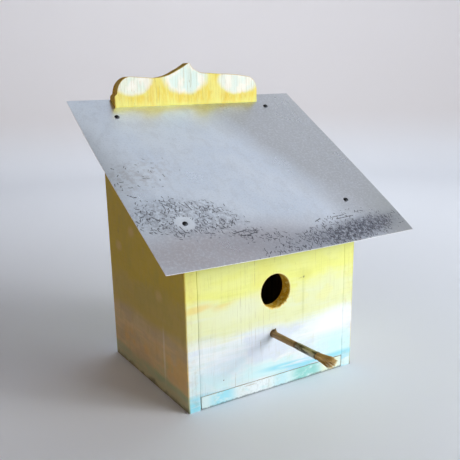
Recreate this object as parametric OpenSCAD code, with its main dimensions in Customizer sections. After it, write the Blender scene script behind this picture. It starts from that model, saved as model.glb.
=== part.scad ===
// Lean-to birdhouse with a scroll-cut crest board and an old paintbrush for a perch.
// The origin is the centre of the box's underside, +Z is up and the entrance faces -Y.

/* [Box] */
// Width across the two side walls
box_w = 294; // [286:1:300]
// Thickness of every board
board_t = 19; // [16:1:22]
// Height of the roof sheet's top face where it crosses the front of the box
front_h = 258; // [250:1:275]
// Slope of the roof, in degrees
roof_pitch = 32; // [26:1:38]

/* [Entrance] */
// Diameter of the entrance hole
entrance_d = 50.8; // [28:0.2:58]
// Height of the entrance hole's centre above the base
entrance_h = 151; // [130:1:165]

/* [Roof sheet] */
// Thickness of the metal sheet
sheet_t = 1; // [0.8:0.1:1.6]
// How far the sheet passes the left wall
overhang_left = 52; // [20:1:80]
// How far the sheet passes the right wall
overhang_right = 63; // [20:1:80]
// How far the sheet passes the front of the box, along the slope
overhang_front = 66; // [20:1:90]
// Diameter of a roof screw's head
screw_head_d = 8.4; // [7:0.1:10]

/* [Crest] */
// Width of the crest above the roof
crest_w = 262; // [258:1:266]
// Height of the crest's centre peak above the roof, at the crest's front face
crest_peak_h = 65; // [58:1:75]

/* [Clean-out floor] */
// Gap at each end of the floor board
floor_side_gap = 1.8; // [1:0.1:3]
// Gap between the floor board and the front panel
floor_top_gap = 1.5; // [1:0.1:3]
// Gap behind the floor board, in which its rear edge swings
floor_rear_gap = 5; // [5:0.1:8]
// Diameter of the nails that the floor swings on
pivot_d = 3; // [2.5:0.1:4]

/* [Paintbrush perch] */
// Height of the brush's centre line above the base
perch_h = 86; // [78:1:92]
// Sideways place of the brush
perch_x = -4; // [-10:1:10]
// Upward tilt of the brush, in degrees
perch_tilt = 1.2; // [0:0.1:3]
// Diameter of the wooden handle at the front panel
handle_d = 9.8; // [8:0.1:11]
// Length of the handle between the front panel and the ferrule
handle_l = 57; // [40:1:80]
// Length of the metal ferrule
ferrule_l = 42; // [30:1:50]
// Length of the bristles past the ferrule
bristle_l = 35; // [20:1:45]
// Width of the flared bristle tips
bristle_w = 17; // [12:1:22]

/* [Hidden] */
$fn = 64;

// The box is as deep as it is wide inside.
inner_w = box_w - 2 * board_t;
box_d = inner_w;
front_y = -box_d / 2;
back_y = box_d / 2;
wall_x = inner_w / 2 + board_t / 2;

// Roof plane: its height at a distance d behind the front of the box.
slope = tan(roof_pitch);
function roof_h(d) = front_h + d * slope;
under_h = front_h - sheet_t / cos(roof_pitch);

// Roof screws, each over a side wall, as the sideways place and the distance up the slope.
box_slope_l = box_d / cos(roof_pitch);
sheet_l = overhang_front + box_slope_l;
roof_screw_places = [
    [-wall_x + 1.5, 13], [wall_x + 0.5, 14],
    [-wall_x + 1.5, box_slope_l - 47], [wall_x + 4, box_slope_l - 37]
];
screw_shank_d = 4;
screw_l = 30;
sheet_hole_d = 4.8;

// Nails through the side walls into the front and back panels.
nail_d = 3;
nail_head_d = 4.4;
nail_head_t = 1.2;
nail_l = 50;
nail_edge = 48;
back_h = under_h + box_d * slope;
front_nail_heights = [for (k = [0 : 2]) nail_edge + k * (under_h - 2 * nail_edge) / 2];
back_nail_heights = [for (k = [0 : 3]) nail_edge + k * (back_h - 2 * nail_edge) / 3];

// Cleat inside the front panel, which the closed floor meets.
cleat_w = inner_w - 36;
cleat_h = 25;
cleat_gap = 0.5;
brad_d = 1.8;
brad_head_d = 3.2;
brad_l = 32;
brad_x = cleat_w / 2 - 20;
brad_h = 36;

// Floor pivot, set in from the floor's rear edge.
pivot_inset = 10;
pivot_clearance = 0.05;
floor_rear_y = back_y - board_t - floor_rear_gap;
pivot_y = floor_rear_y - pivot_inset;
pivot_h = board_t / 2;

// The handle rests on the bottom of its hole, and the wedge fills the space above it.
perch_hole_d = handle_d + 2.2;
perch_drop = 1;
handle_inside = 10;
handle_neck_d = 9;
ferrule_d = 10.4;
ferrule_tip_d = 11.2;
ferrule_wall = 0.5;
ferrule_lap = 14;
bristle_root_l = 10;
wedge_w = 3;

// A cylinder along Y whose base is at y = 0 and which runs towards -Y.
module rod_forward(d, l, d2 = 0) {
    rotate([90, 0, 0]) cylinder(d1 = d, d2 = d2 > 0 ? d2 : d, h = l);
}

// A finishing nail along X: its head is flush at x = 0 and its point is towards +X.
module nail(d, head_d, head_t, l) {
    point_l = 2 * d;
    rotate([0, 90, 0]) {
        cylinder(d1 = head_d, d2 = d, h = head_t);
        cylinder(d = d, h = l - point_l);
        translate([0, 0, l - point_l]) cylinder(d1 = d, d2 = 0.6, h = point_l);
    }
}

// The same nail driven in through each side wall at a given depth and height.
module nail_pair(y, z, d = nail_d) {
    for (side = [-1, 1])
        translate([side * box_w / 2, y, z])
            mirror([side > 0 ? 1 : 0, 0, 0]) nail(d, nail_head_d, nail_head_t, nail_l);
}

module front_nails_shape() {
    for (z = front_nail_heights) nail_pair(front_y + board_t / 2, z);
}

module back_nails_shape() {
    for (z = back_nail_heights) nail_pair(back_y - board_t / 2, z);
}

// Brads driven in through the front panel into the cleat.
module cleat_brads_shape() {
    for (side = [-1, 1])
        translate([side * brad_x, front_y, brad_h])
            rotate([0, 0, 90]) nail(brad_d, brad_head_d, 0.8, brad_l);
}

// Roof frame: x across, y up the slope, z square to the sheet's top face.
module on_roof() {
    translate([0, front_y, front_h]) rotate([roof_pitch, 0, 0]) children();
}

module roof_screw_shanks(d) {
    on_roof()
        for (p = roof_screw_places)
            translate([p[0], p[1], -screw_l]) cylinder(d = d, h = screw_l + 1);
}

// Everything under the roof sheet, from its underside down.
module below_roof() {
    on_roof()
        translate([-box_w, -2 * box_d, -4 * box_d - sheet_t]) cube([2 * box_w, 4 * box_d, 4 * box_d]);
}

// Everything above the roof sheet, from its top face up.
module above_roof() {
    on_roof() translate([-box_w, -box_d, 0]) cube([2 * box_w, 4 * box_d, box_d]);
}

// Upright board across the box, between the side walls, with its front face at y.
module cross_board(y, z0, z1) {
    translate([-inner_w / 2, y, z0]) cube([inner_w, board_t, z1 - z0]);
}

// Side wall: a board whose top edge follows the roof.
module side_wall(side) {
    difference() {
        translate([side * wall_x - board_t / 2, 0, 0])
            rotate([90, 0, 90])
                linear_extrude(board_t)
                    polygon([
                        [front_y, 0], [back_y, 0],
                        [back_y, back_h], [front_y, under_h]
                    ]);
        front_nails_shape();
        back_nails_shape();
        nail_pair(pivot_y, pivot_h, pivot_d);
        roof_screw_shanks(screw_shank_d);
    }
}

module left_side_wall() {
    color([0.62, 0.53, 0.28]) side_wall(-1);
}

module right_side_wall() {
    color([0.95, 0.93, 0.62]) side_wall(1);
}

// Front panel: the entrance hole, the hole for the perch, and a bevelled top edge.
module front_panel() {
    bottom_h = board_t + floor_top_gap;
    color([0.96, 0.95, 0.70])
        difference() {
            intersection() {
                cross_board(front_y, bottom_h, front_h + board_t);
                below_roof();
            }
            translate([0, front_y + board_t + 1, entrance_h]) rod_forward(entrance_d, board_t + 2);
            on_perch()
                translate([0, board_t + 1, perch_drop]) rod_forward(perch_hole_d, board_t + 2);
            front_nails_shape();
            cleat_brads_shape();
        }
}

// Smooth curve through points: a Catmull-Rom spline with n steps in each span.
function spline_point(a, b, c, d, t) =
    0.5 * (2 * b + (c - a) * t + (2 * a - 5 * b + 4 * c - d) * t * t
        + (3 * b - a - 3 * c + d) * t * t * t);
function spline(p, n) = [
    for (i = [0 : len(p) - 2], k = [0 : n - 1])
        spline_point(p[max(i - 1, 0)], p[i], p[i + 1], p[min(i + 2, len(p) - 1)], k / n)
];

// Quarter ellipse about c, from angle a0 to a1.
function shoulder(c, rx, rz, a0, a1, n) = [
    for (k = [0 : n]) let (a = a0 + (a1 - a0) * k / n) [c[0] + rx * cos(a), c[1] + rz * sin(a)]
];

// Crest outline above the roof, from the left shoulder over the peak to the right shoulder.
// Heights are above the roof at the crest's front face.
shoulder_h = 45.5;
left_swoop = [[-102, shoulder_h], [-82, 44], [-60, 43], [-38, 46.5], [-13, 57.5], [0, crest_peak_h]];
right_swoop = [[2, crest_peak_h], [8, 57], [22, 50], [44, 48.5], [89, 46], [112, 43]];
crest_x = 1.5;
crest_left = crest_x - crest_w / 2;
crest_right = crest_x + crest_w / 2;
function crest_outline() = concat(
    [[crest_left, -40], [crest_left, 17], [crest_left + 4, 21]],
    shoulder([-102, 19], -102 - crest_left - 4, shoulder_h - 19, 175, 100, 8),
    spline(left_swoop, 6), [[0, crest_peak_h]],
    spline(right_swoop, 6),
    shoulder([112, 20], crest_right - 112, 23, 90, 0, 10),
    [[crest_right, -40]]
);

// Back panel: one board that stands up through a notch in the roof and ends in the crest.
module back_panel() {
    face_y = back_y - board_t;
    crest_base_h = roof_h(box_d - board_t);
    color([0.97, 0.88, 0.42])
        difference() {
            union() {
                cross_board(face_y, 0, roof_h(box_d) + 10);
                intersection() {
                    translate([0, back_y, crest_base_h])
                        rotate([90, 0, 0]) linear_extrude(board_t) polygon(crest_outline());
                    above_roof();
                }
            }
            back_nails_shape();
        }
}

// Floor board: it swings down about the two nails near its rear edge.
module clean_out_floor() {
    floor_w = inner_w - 2 * floor_side_gap;
    color([0.86, 0.93, 0.90])
        difference() {
            translate([-floor_w / 2, front_y, 0]) cube([floor_w, floor_rear_y - front_y, board_t]);
            for (side = [-1, 1])
                translate([side * (box_w / 2 - nail_l - 1), pivot_y, pivot_h])
                    rotate([0, side * 90, 0]) cylinder(d = pivot_d + 2 * pivot_clearance, h = nail_l);
        }
}

module floor_pivot_nails() {
    color([0.45, 0.43, 0.40]) nail_pair(pivot_y, pivot_h, pivot_d);
}

module floor_stop_cleat() {
    color([0.72, 0.55, 0.34])
        difference() {
            translate([-cleat_w / 2, front_y + board_t, board_t + cleat_gap])
                cube([cleat_w, board_t, cleat_h]);
            cleat_brads_shape();
        }
}

module cleat_brads() {
    color([0.35, 0.30, 0.26]) cleat_brads_shape();
}

module front_panel_nails() {
    color([0.45, 0.43, 0.40]) front_nails_shape();
}

module back_panel_nails() {
    color([0.45, 0.43, 0.40]) back_nails_shape();
}

// Roof sheet: flat metal, notched round the back panel and drilled for the screws.
module roof_sheet() {
    notch_gap = 0.4;
    sheet_w = box_w + overhang_left + overhang_right;
    color([0.72, 0.75, 0.80])
        difference() {
            on_roof()
                translate([-box_w / 2 - overhang_left, -overhang_front, -sheet_t])
                    cube([sheet_w, sheet_l, sheet_t]);
            translate([-inner_w / 2 - notch_gap, back_y - board_t - notch_gap, front_h])
                cube([inner_w + 2 * notch_gap, 3 * board_t, 2 * box_d]);
            roof_screw_shanks(sheet_hole_d);
        }
}

// Dome-headed screws with a cross recess, driven square to the sheet.
module roof_screws() {
    head_r = screw_head_d / 2;
    head_h = 2.6;
    dome_r = (head_r * head_r + head_h * head_h) / (2 * head_h);
    recess_w = 0.9;
    recess_l = 4.6;
    tip_l = 6;
    color([0.18, 0.19, 0.21])
        on_roof()
            for (p = roof_screw_places)
                translate([p[0], p[1], 0]) {
                    difference() {
                        intersection() {
                            translate([0, 0, head_h - dome_r]) sphere(r = dome_r);
                            cylinder(r = head_r + 1, h = head_h + 1);
                        }
                        for (a = [20, 110])
                            rotate([0, 0, a])
                                translate([-recess_l / 2, -recess_w / 2, head_h - 1.1])
                                    cube([recess_l, recess_w, 2]);
                    }
                    translate([0, 0, tip_l - screw_l]) cylinder(d = screw_shank_d, h = screw_l - tip_l);
                    translate([0, 0, -screw_l]) cylinder(d1 = 0.8, d2 = screw_shank_d, h = tip_l);
                }
}

// Perch frame: y runs back along the brush's centre line, from 0 at the front of the box.
module on_perch() {
    translate([perch_x, front_y, perch_h]) rotate([-perch_tilt, 0, 0]) children();
}

// Handle: it narrows towards the ferrule and its end stands inside the box.
module perch_handle() {
    shoulder_l = 2;
    color([0.52, 0.40, 0.24])
        on_perch() {
            translate([0, board_t + handle_inside, 0])
                rod_forward(handle_d - 2, shoulder_l, handle_d);
            translate([0, board_t + handle_inside - shoulder_l, 0])
                rod_forward(handle_d, board_t + handle_inside - shoulder_l);
            rod_forward(handle_d, handle_l, handle_neck_d);
            translate([0, -handle_l, 0]) rod_forward(handle_neck_d, ferrule_lap);
        }
}

// Ferrule: a tube with two crimped rings over the handle, opening out a little at its tip.
module perch_ferrule() {
    r0 = ferrule_d / 2;
    r1 = ferrule_tip_d / 2;
    bore_r = handle_neck_d / 2;
    crimp = 0.35;
    color([0.42, 0.41, 0.37])
        on_perch()
            translate([0, -handle_l, 0])
                rotate([90, 0, 0])
                    rotate_extrude()
                        polygon([
                            [bore_r, 0], [r0, 0], [r0, 5], [r0 - crimp, 6], [r0, 7], [r0, 10],
                            [r0 - crimp, 11], [r0, 12], [r0, ferrule_l / 2], [r1, ferrule_l],
                            [r1 - ferrule_wall, ferrule_l], [bore_r, ferrule_l / 2]
                        ]);
}

// Bristles: a flared tuft whose root is held in the ferrule.
module perch_bristles() {
    root_d = ferrule_tip_d - 2 * ferrule_wall;
    root_start_d = root_d - (ferrule_tip_d - 2 * ferrule_wall - handle_neck_d)
        * bristle_root_l / (ferrule_l / 2);
    color([0.62, 0.46, 0.22])
        on_perch()
            translate([0, -handle_l - ferrule_l, 0]) {
                translate([0, bristle_root_l, 0]) rod_forward(root_start_d, bristle_root_l, root_d);
                rod_forward(root_d, bristle_l, bristle_w);
            }
}

// Wedge: a splinter of wood driven in over the handle, its broken end standing up outside.
module perch_wedge() {
    under = handle_d / 2 + 0.05;
    top = perch_drop + perch_hole_d / 2 - 0.45;
    color([0.50, 0.40, 0.28])
        on_perch()
            translate([wedge_w / 2, 0, 0])
                rotate([90, 0, -90])
                    linear_extrude(wedge_w)
                        polygon([
                            [-14, under], [3, under], [4.6, top + 3.2], [3.8, top + 3.9], [2.4, top + 1],
                            [0.5, top], [-12, top - 0.4]
                        ]);
}

left_side_wall();
right_side_wall();
front_panel();
back_panel();
clean_out_floor();
floor_stop_cleat();
roof_sheet();
roof_screws();
front_panel_nails();
back_panel_nails();
cleat_brads();
floor_pivot_nails();
perch_handle();
perch_ferrule();
perch_bristles();
perch_wedge();
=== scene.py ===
"""Looks of a lean-to birdhouse: wash-painted boards, a galvanised sheet roof and a paintbrush perch.

Everything is in metres. +Z is up, the entrance faces -Y, and the box stands on z = 0.
"""

import math

import bmesh
import bpy
import numpy as np
from mathutils import Matrix, Vector


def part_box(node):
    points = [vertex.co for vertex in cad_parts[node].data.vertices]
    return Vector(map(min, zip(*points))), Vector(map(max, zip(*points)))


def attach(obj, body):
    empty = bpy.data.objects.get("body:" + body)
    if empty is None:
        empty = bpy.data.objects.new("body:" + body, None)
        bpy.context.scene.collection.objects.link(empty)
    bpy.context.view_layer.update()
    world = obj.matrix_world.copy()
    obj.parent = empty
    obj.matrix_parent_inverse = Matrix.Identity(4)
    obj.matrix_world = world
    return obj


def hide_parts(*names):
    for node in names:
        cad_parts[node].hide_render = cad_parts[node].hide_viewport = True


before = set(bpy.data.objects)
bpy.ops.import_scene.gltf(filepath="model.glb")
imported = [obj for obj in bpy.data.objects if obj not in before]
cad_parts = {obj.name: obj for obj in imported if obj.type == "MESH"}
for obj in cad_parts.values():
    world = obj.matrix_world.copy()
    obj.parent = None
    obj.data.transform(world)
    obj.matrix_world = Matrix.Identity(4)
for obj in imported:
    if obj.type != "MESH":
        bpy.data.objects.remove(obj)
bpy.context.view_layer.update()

# ---------------------------------------------------------------- sizes taken from the frame
wall_low, wall_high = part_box("left_side_wall")
panel_low, panel_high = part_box("front_panel")
back_low, back_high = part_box("back_panel")
floor_low, floor_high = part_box("clean_out_floor")
sheet_low, sheet_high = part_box("roof_sheet")

HALF_BOX = -wall_low.x
HALF_INSIDE = panel_high.x
FRONT_Y = wall_low.y
BACK_Y = wall_high.y
BOARD = panel_high.y - panel_low.y
SLOPE = (wall_high.z - panel_high.z) / (BACK_Y - panel_high.y)
PITCH = math.atan(SLOPE)
SHEET_T = 0.001
UNDER_Z = wall_high.z - (BACK_Y - FRONT_Y) * SLOPE
TOP_Z = UNDER_Z + SHEET_T / math.cos(PITCH)
SLOPE_L = (BACK_Y - FRONT_Y) / math.cos(PITCH)
FRONT_S = (sheet_low.y - FRONT_Y) / math.cos(PITCH)

ENTRANCE_R = 0.0254
ENTRANCE_Z = 0.151
PERCH_X = -0.004
PERCH_Z = 0.086
PERCH_TILT = math.radians(1.2)
PERCH_HOLE_R = 0.006
PERCH_HOLE_Z = 0.087
PERCH_CHIP = 0.0004
BACK_CHIP = 0.0005
EDGE_R = 0.0006
EDGE_INSET = 1.3 * EDGE_R
MERGE = 3e-6
MERGE_STRANDS = 1e-6
GAP_CLOSE = 0.0004
MM = 0.001

# Roof sheet past the box on the left, right and front; screws as (x, distance up the slope).
OVER_LEFT = 0.052
OVER_RIGHT = 0.063
OVER_FRONT = 0.066
SCREWS = [(-0.136, 0.013), (0.138, 0.014), (-0.136, SLOPE_L - 0.047), (0.1415, SLOPE_L - 0.037)]

# Brush, as distances along it from the panel's front face.
HANDLE_L = 0.057
HANDLE_IN = 0.029
HANDLE_TENON = 0.012
FERRULE_L = 0.042
FERRULE_END = HANDLE_L + FERRULE_L
BRISTLE_L = 0.035
TUFT_R = 0.0083

# Chance numbers for the wear of each board, the bow of the roof and the brush.
SEEDS = {
    "left_side_wall": 11,
    "right_side_wall": 23,
    "front_panel": 31,
    "back_panel": 43,
    "clean_out_floor": 57,
    "roof_sheet": 71,
    "perch_handle": 3,
    "perch_ferrule": 9,
    "bristle_core": 4,
    "perch_bristles": 17,
}

NAIL_HEAD_R = 0.0022
NAIL_R = 0.00115
NAIL_L = 0.040
NAIL_DOME = 0.0001
BRAD_X = 0.090
BRAD_Z = 0.036


# ---------------------------------------------------------------- mesh tools
def quads(rows, cols, closed=False):
    """Faces of a grid of points, rows by cols; closed joins the last column to the first."""
    index = np.arange(rows * cols).reshape(rows, cols)
    if closed:
        index = np.concatenate([index, index[:, :1]], axis=1)
    corners = [index[:-1, :-1], index[:-1, 1:], index[1:, 1:], index[1:, :-1]]
    return np.stack(corners, axis=-1).reshape(-1, 4)


def wander(points, seed, wavelength, count=7):
    """Smooth noise from -1 to 1: the mean of sines of plane waves with chance directions."""
    rng = np.random.default_rng(seed)
    waves = rng.normal(size=(count, points.shape[-1]))
    waves *= (rng.uniform(0.6, 1.4, (count, 1)) / np.linalg.norm(waves, axis=1, keepdims=True))
    phase = rng.uniform(0, 2 * math.pi, count)
    turns = 2 * math.pi / wavelength * (points @ waves.T) + phase
    return np.sin(turns).mean(axis=-1) * 1.6


def close_up(mesh, gap, sharp=180):
    """Merges points closer than gap, turns the faces outwards and keeps creases over `sharp` degrees."""
    shape = bmesh.new()
    shape.from_mesh(mesh)
    bmesh.ops.remove_doubles(shape, verts=shape.verts, dist=gap)
    bmesh.ops.dissolve_degenerate(shape, edges=shape.edges, dist=1e-7)
    bmesh.ops.recalc_face_normals(shape, faces=shape.faces)
    for face in shape.faces:
        face.smooth = True
    for edge in shape.edges:
        if len(edge.link_faces) == 2 and edge.calc_face_angle(0) > math.radians(sharp):
            edge.smooth = False
    shape.to_mesh(mesh)
    shape.free()


def stand_in(name, mesh, body, node):
    """Puts a finished mesh in the scene, on its body and in place of its CAD node."""
    thing = bpy.data.objects.new(name, mesh)
    bpy.context.scene.collection.objects.link(thing)
    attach(thing, body)
    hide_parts(node)
    return thing


def piece(name, parts, materials, body, node, sharp=35):
    """One closed mesh from surface patches.

    Each patch is (grid of points rows x cols x 3, closed, material index). Patches that share an
    edge are merged there, and creases over `sharp` degrees stay crisp.
    """
    points = []
    faces = []
    slots = []
    count = 0
    for grid, closed, slot in parts:
        rows, cols = grid.shape[:2]
        patch = quads(rows, cols, closed)
        points.append(grid.reshape(-1, 3))
        faces.append(patch + count)
        slots.append(np.full(len(patch), slot))
        count += rows * cols
    mesh = bpy.data.meshes.new(name)
    mesh.from_pydata(np.concatenate(points).tolist(), [], np.concatenate(faces).tolist())
    for material in materials:
        mesh.materials.append(material)
    mesh.polygons.foreach_set("material_index", np.concatenate(slots).astype(np.int32))
    close_up(mesh, MERGE, sharp)
    return stand_in(name, mesh, body, node)


def outward(loop):
    """Unit outward normals of an anticlockwise closed loop of 2-D points."""
    along = np.roll(loop, -1, axis=0) - np.roll(loop, 1, axis=0)
    normal = np.stack([along[:, 1], -along[:, 0]], axis=1)
    return normal / np.linalg.norm(normal, axis=1, keepdims=True)


def rim(front, back, w0, w1, radius, wear, rows=6):
    """Edge of a board: a rounded corner, the straight side and a second rounded corner.

    front and back are the loops where the flat faces end, at depths w0 and w1. The corner runs out
    along the loop's normal by radius * sin(a) while it goes radius * (1 - cos(a)) into the depth;
    wear flattens it towards a chamfer. Returns rows x points x (a, b, depth).
    """
    away_front = outward(front)
    away_back = outward(back)
    sign = 1 if w1 > w0 else -1
    grid = []
    angles = np.linspace(0, math.pi / 2, 4)
    for angle in angles:
        dull = 1 - 0.3 * wear * math.sin(2 * angle)
        out = (radius * math.sin(angle) * dull)[:, None]
        deep = w0 + sign * radius * (1 - math.cos(angle) * dull)
        grid.append(np.column_stack([front + away_front * out, deep]))
    first = grid[-1]
    last = np.column_stack([back + away_back * radius[:, None], w1 - sign * radius])
    for share in np.linspace(0, 1, rows + 2)[1:]:
        grid.append(first + (last - first) * share)
    for angle in angles[::-1][1:]:
        out = (radius * math.sin(angle))[:, None]
        deep = w1 - sign * radius * (1 - math.cos(angle))
        grid.append(np.column_stack([back + away_back * out, deep]))
    return np.array(grid)


def lay(grid, axis):
    """Turns (a, b, depth) into x, y, z for a board whose thickness runs along axis x, y or z."""
    order = {"x": (2, 0, 1), "y": (0, 2, 1), "z": (0, 1, 2)}[axis]
    return grid[..., order]


def flat(grid, depth):
    """A grid of 2-D points at one depth."""
    return np.concatenate([grid, np.full(grid.shape[:-1] + (1,), depth)], axis=-1)


def border(grid):
    """The anticlockwise edge of a grid whose rows go up and whose columns go right."""
    loop = np.concatenate([grid[0, :-1], grid[:-1, -1], grid[-1, :0:-1], grid[:0:-1, 0]])
    apart = np.linalg.norm(loop - np.roll(loop, 1, axis=0), axis=1) > 1e-6
    return loop[apart]


def worn(loop, seed):
    """How worn an edge is along a loop, from 0 to 1."""
    return np.clip(0.5 + wander(loop, seed, 0.035) + 0.5 * wander(loop, seed + 1, 0.009), 0, 1)


def rounded(node, front, back, w0, w1):
    """The rim of a board between its two outlines, with a radius and a wear that vary along it."""
    seed = SEEDS[node]
    radius = EDGE_R * (0.8 + 0.5 * worn(front, seed + 5))
    return rim(front, back, w0, w1, radius, worn(front, seed))


def board(node, body, axis, front_grid, back_grid, w0, w1, materials, rim_slot=0, back_slot=0):
    """A board from its two flat faces, given as matching grids of 2-D points, and its rounded edge."""
    edge = rounded(node, border(front_grid), border(back_grid), w0, w1)
    parts = [
        (lay(flat(front_grid, w0), axis), False, 0),
        (lay(edge, axis), True, rim_slot),
        (lay(flat(back_grid, w1), axis), False, back_slot),
    ]
    return piece("board_" + node, parts, materials, body, node)


def mapped(rows, cols, corners):
    """Grid over a four-cornered shape; its corners go anticlockwise from the bottom left."""
    u = np.linspace(0, 1, cols)[None, :, None]
    v = np.linspace(0, 1, rows)[:, None, None]
    a, b, c, d = [np.array(corner, float) for corner in corners]
    return (1 - v) * ((1 - u) * a + u * b) + v * ((1 - u) * d + u * c)


# ---------------------------------------------------------------- material tools
class Look:
    """A finish in the making: one Principled shader, and nodes on the piece's Object coordinates."""

    def __init__(self, name, **sockets):
        self.material = bpy.data.materials.new(name)
        self.material.use_nodes = True
        self.tree = self.material.node_tree
        self.tree.nodes.clear()
        output = self.tree.nodes.new("ShaderNodeOutputMaterial")
        self.shader = self.tree.nodes.new("ShaderNodeBsdfPrincipled")
        self.tree.links.new(self.shader.outputs[0], output.inputs[0])
        self.place = self.tree.nodes.new("ShaderNodeTexCoord").outputs["Object"]
        for socket, value in sockets.items():
            self.put(self.shader.inputs[socket.replace("_", " ")], value)

    def put(self, socket, value):
        """Links a node's output to a socket, or sets a constant on it."""
        if isinstance(value, bpy.types.NodeSocket):
            self.tree.links.new(value, socket)
        elif isinstance(value, tuple) and len(value) == 3 and socket.type == "RGBA":
            socket.default_value = (*value, 1)
        else:
            socket.default_value = value

    def math(self, operation, a, b=0.0, clamp=False):
        node = self.tree.nodes.new("ShaderNodeMath")
        node.operation = operation
        node.use_clamp = clamp
        self.put(node.inputs[0], a)
        self.put(node.inputs[1], b)
        return node.outputs[0]

    def vector(self, operation, a, b=(0, 0, 0)):
        node = self.tree.nodes.new("ShaderNodeVectorMath")
        node.operation = operation
        self.put(node.inputs[0], a)
        self.put(node.inputs[1], b)
        return node.outputs["Value" if operation in ("LENGTH", "DISTANCE", "DOT_PRODUCT") else 0]

    def xyz(self, vector=None):
        node = self.tree.nodes.new("ShaderNodeSeparateXYZ")
        self.put(node.inputs[0], vector or self.place)
        return node.outputs

    def join(self, x, y, z=0.0):
        node = self.tree.nodes.new("ShaderNodeCombineXYZ")
        for socket, value in zip(node.inputs, (x, y, z)):
            self.put(socket, value)
        return node.outputs[0]

    def noise(self, scale, stretch=(1, 1, 1), detail=3, rough=0.5, warp=0.0, shift=(0, 0, 0), at=None):
        moved = self.vector("ADD", at or self.place, shift)
        node = self.tree.nodes.new("ShaderNodeTexNoise")
        self.put(node.inputs["Vector"], self.vector("MULTIPLY", moved, stretch))
        node.inputs["Scale"].default_value = scale
        node.inputs["Detail"].default_value = detail
        node.inputs["Roughness"].default_value = rough
        node.inputs["Distortion"].default_value = warp
        return node.outputs[0]

    def step(self, value, low, high):
        """0 below low and 1 above high, with a smooth climb between; low over high turns it round."""
        node = self.tree.nodes.new("ShaderNodeMapRange")
        node.interpolation_type = "SMOOTHSTEP"
        flipped = low > high
        self.put(node.inputs["Value"], value)
        node.inputs["From Min"].default_value = min(low, high)
        node.inputs["From Max"].default_value = max(low, high)
        node.inputs["To Min"].default_value = 1.0 if flipped else 0.0
        node.inputs["To Max"].default_value = 0.0 if flipped else 1.0
        return node.outputs[0]

    def mix(self, share, a, b, blend="MIX"):
        node = self.tree.nodes.new("ShaderNodeMix")
        node.data_type = "RGBA"
        node.blend_type = blend
        self.put(node.inputs["Factor"], share)
        self.put(node.inputs[6], a)
        self.put(node.inputs[7], b)
        return node.outputs[2]

    def add(self, value, other, weight=1.0):
        if weight != 1.0:
            other = self.times(other, weight)
        return self.math("ADD", value, other)

    def times(self, a, b):
        return self.math("MULTIPLY", a, b)

    def minus(self, a, b):
        return self.math("SUBTRACT", a, b)

    def most(self, a, b):
        return self.math("MAXIMUM", a, b)

    def apart(self, a, b):
        """How far two values are from each other, whichever is the larger."""
        return self.math("ABSOLUTE", self.minus(a, b))

    def stir(self, value, noise, reach):
        """Moves a value up and down with a noise whose middle is 0.5."""
        return self.add(value, self.minus(noise, 0.5), reach)

    def tint(self, colour, share, strength, tone):
        """Lays a tone over a colour where share is 1, no thicker than strength."""
        return self.mix(self.times(share, strength), colour, tone)

    def patch(self, u, v, centre, size, soft=0.5, tilt=0.0):
        """1 inside an ellipse on the (u, v) plane, 0 outside, with a soft edge; tilt is in radians."""
        du = self.math("SUBTRACT", u, centre[0])
        dv = self.math("SUBTRACT", v, centre[1])
        if tilt:
            cos, sin = math.cos(tilt), math.sin(tilt)
            along = self.add(self.math("MULTIPLY", du, cos), dv, sin)
            dv = self.add(self.math("MULTIPLY", dv, cos), du, -sin)
            du = along
        spread = self.join(self.math("DIVIDE", du, size[0]), self.math("DIVIDE", dv, size[1]))
        return self.step(self.vector("LENGTH", spread), 1 + soft, 1 - soft)

    def all_of(self, *shares):
        result = shares[0]
        for share in shares[1:]:
            result = self.math("MULTIPLY", result, share)
        return result

    def coats(self, colour, *coats):
        """Lays coats over a colour in turn, each of them (share, strength, tone)."""
        for share, strength, tone in coats:
            colour = self.tint(colour, share, strength, tone)
        return colour

    def bump(self, height, distance, strength=1.0):
        node = self.tree.nodes.new("ShaderNodeBump")
        node.inputs["Strength"].default_value = strength
        node.inputs["Distance"].default_value = distance
        self.put(node.inputs["Height"], height)
        self.put(self.shader.inputs["Normal"], node.outputs[0])

    def finish(self, colour, roughness=None):
        self.put(self.shader.inputs["Base Color"], colour)
        if roughness is not None:
            self.put(self.shader.inputs["Roughness"], roughness)
        return self.material


# Paints and woods, as linear colours.
LEMON = (0.80, 0.83, 0.25)
CREAM = (0.77, 0.82, 0.48)
CHALK = (0.74, 0.83, 0.86)
LAVENDER = (0.64, 0.71, 0.86)
PALE_SKY = (0.58, 0.85, 0.88)
SKY = (0.34, 0.73, 0.84)
AMBER = (0.82, 0.60, 0.13)
PINE = (0.55, 0.40, 0.17)
PINE_DARK = (0.26, 0.18, 0.07)
GOLD = (0.80, 0.66, 0.11)
MINT = (0.72, 0.86, 0.81)

# How far a pattern is drawn out along the grain of an upright or a level board.
UPRIGHT = (1, 1, 0.03)
ACROSS = (0.03, 1, 1)


def grain(look, along):
    """Grain of sawn softwood, drawn out along the board: (fine streaks, broad bands)."""
    fine = look.noise(850, along, detail=4, rough=0.65, warp=0.15)
    broad = look.noise(150, along, detail=3, rough=0.55, warp=0.4, shift=(0.3, 0.1, 0))
    return fine, broad


def cracks(look, along, scale, low, high):
    """Thin dark checks in the grain: the narrow middle band of a drawn-out noise, in patches."""
    line = look.noise(scale, along, detail=2, rough=0.4, shift=(0.7, 0.2, 0.05))
    off = look.apart(line, 0.5)
    thin = look.step(off, 0.006, 0.0)
    patch = look.step(look.noise(16, (1, 1, 0.5), detail=1, shift=(0.2, 0.4, 0.9)), low, high)
    return look.all_of(thin, patch)


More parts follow.
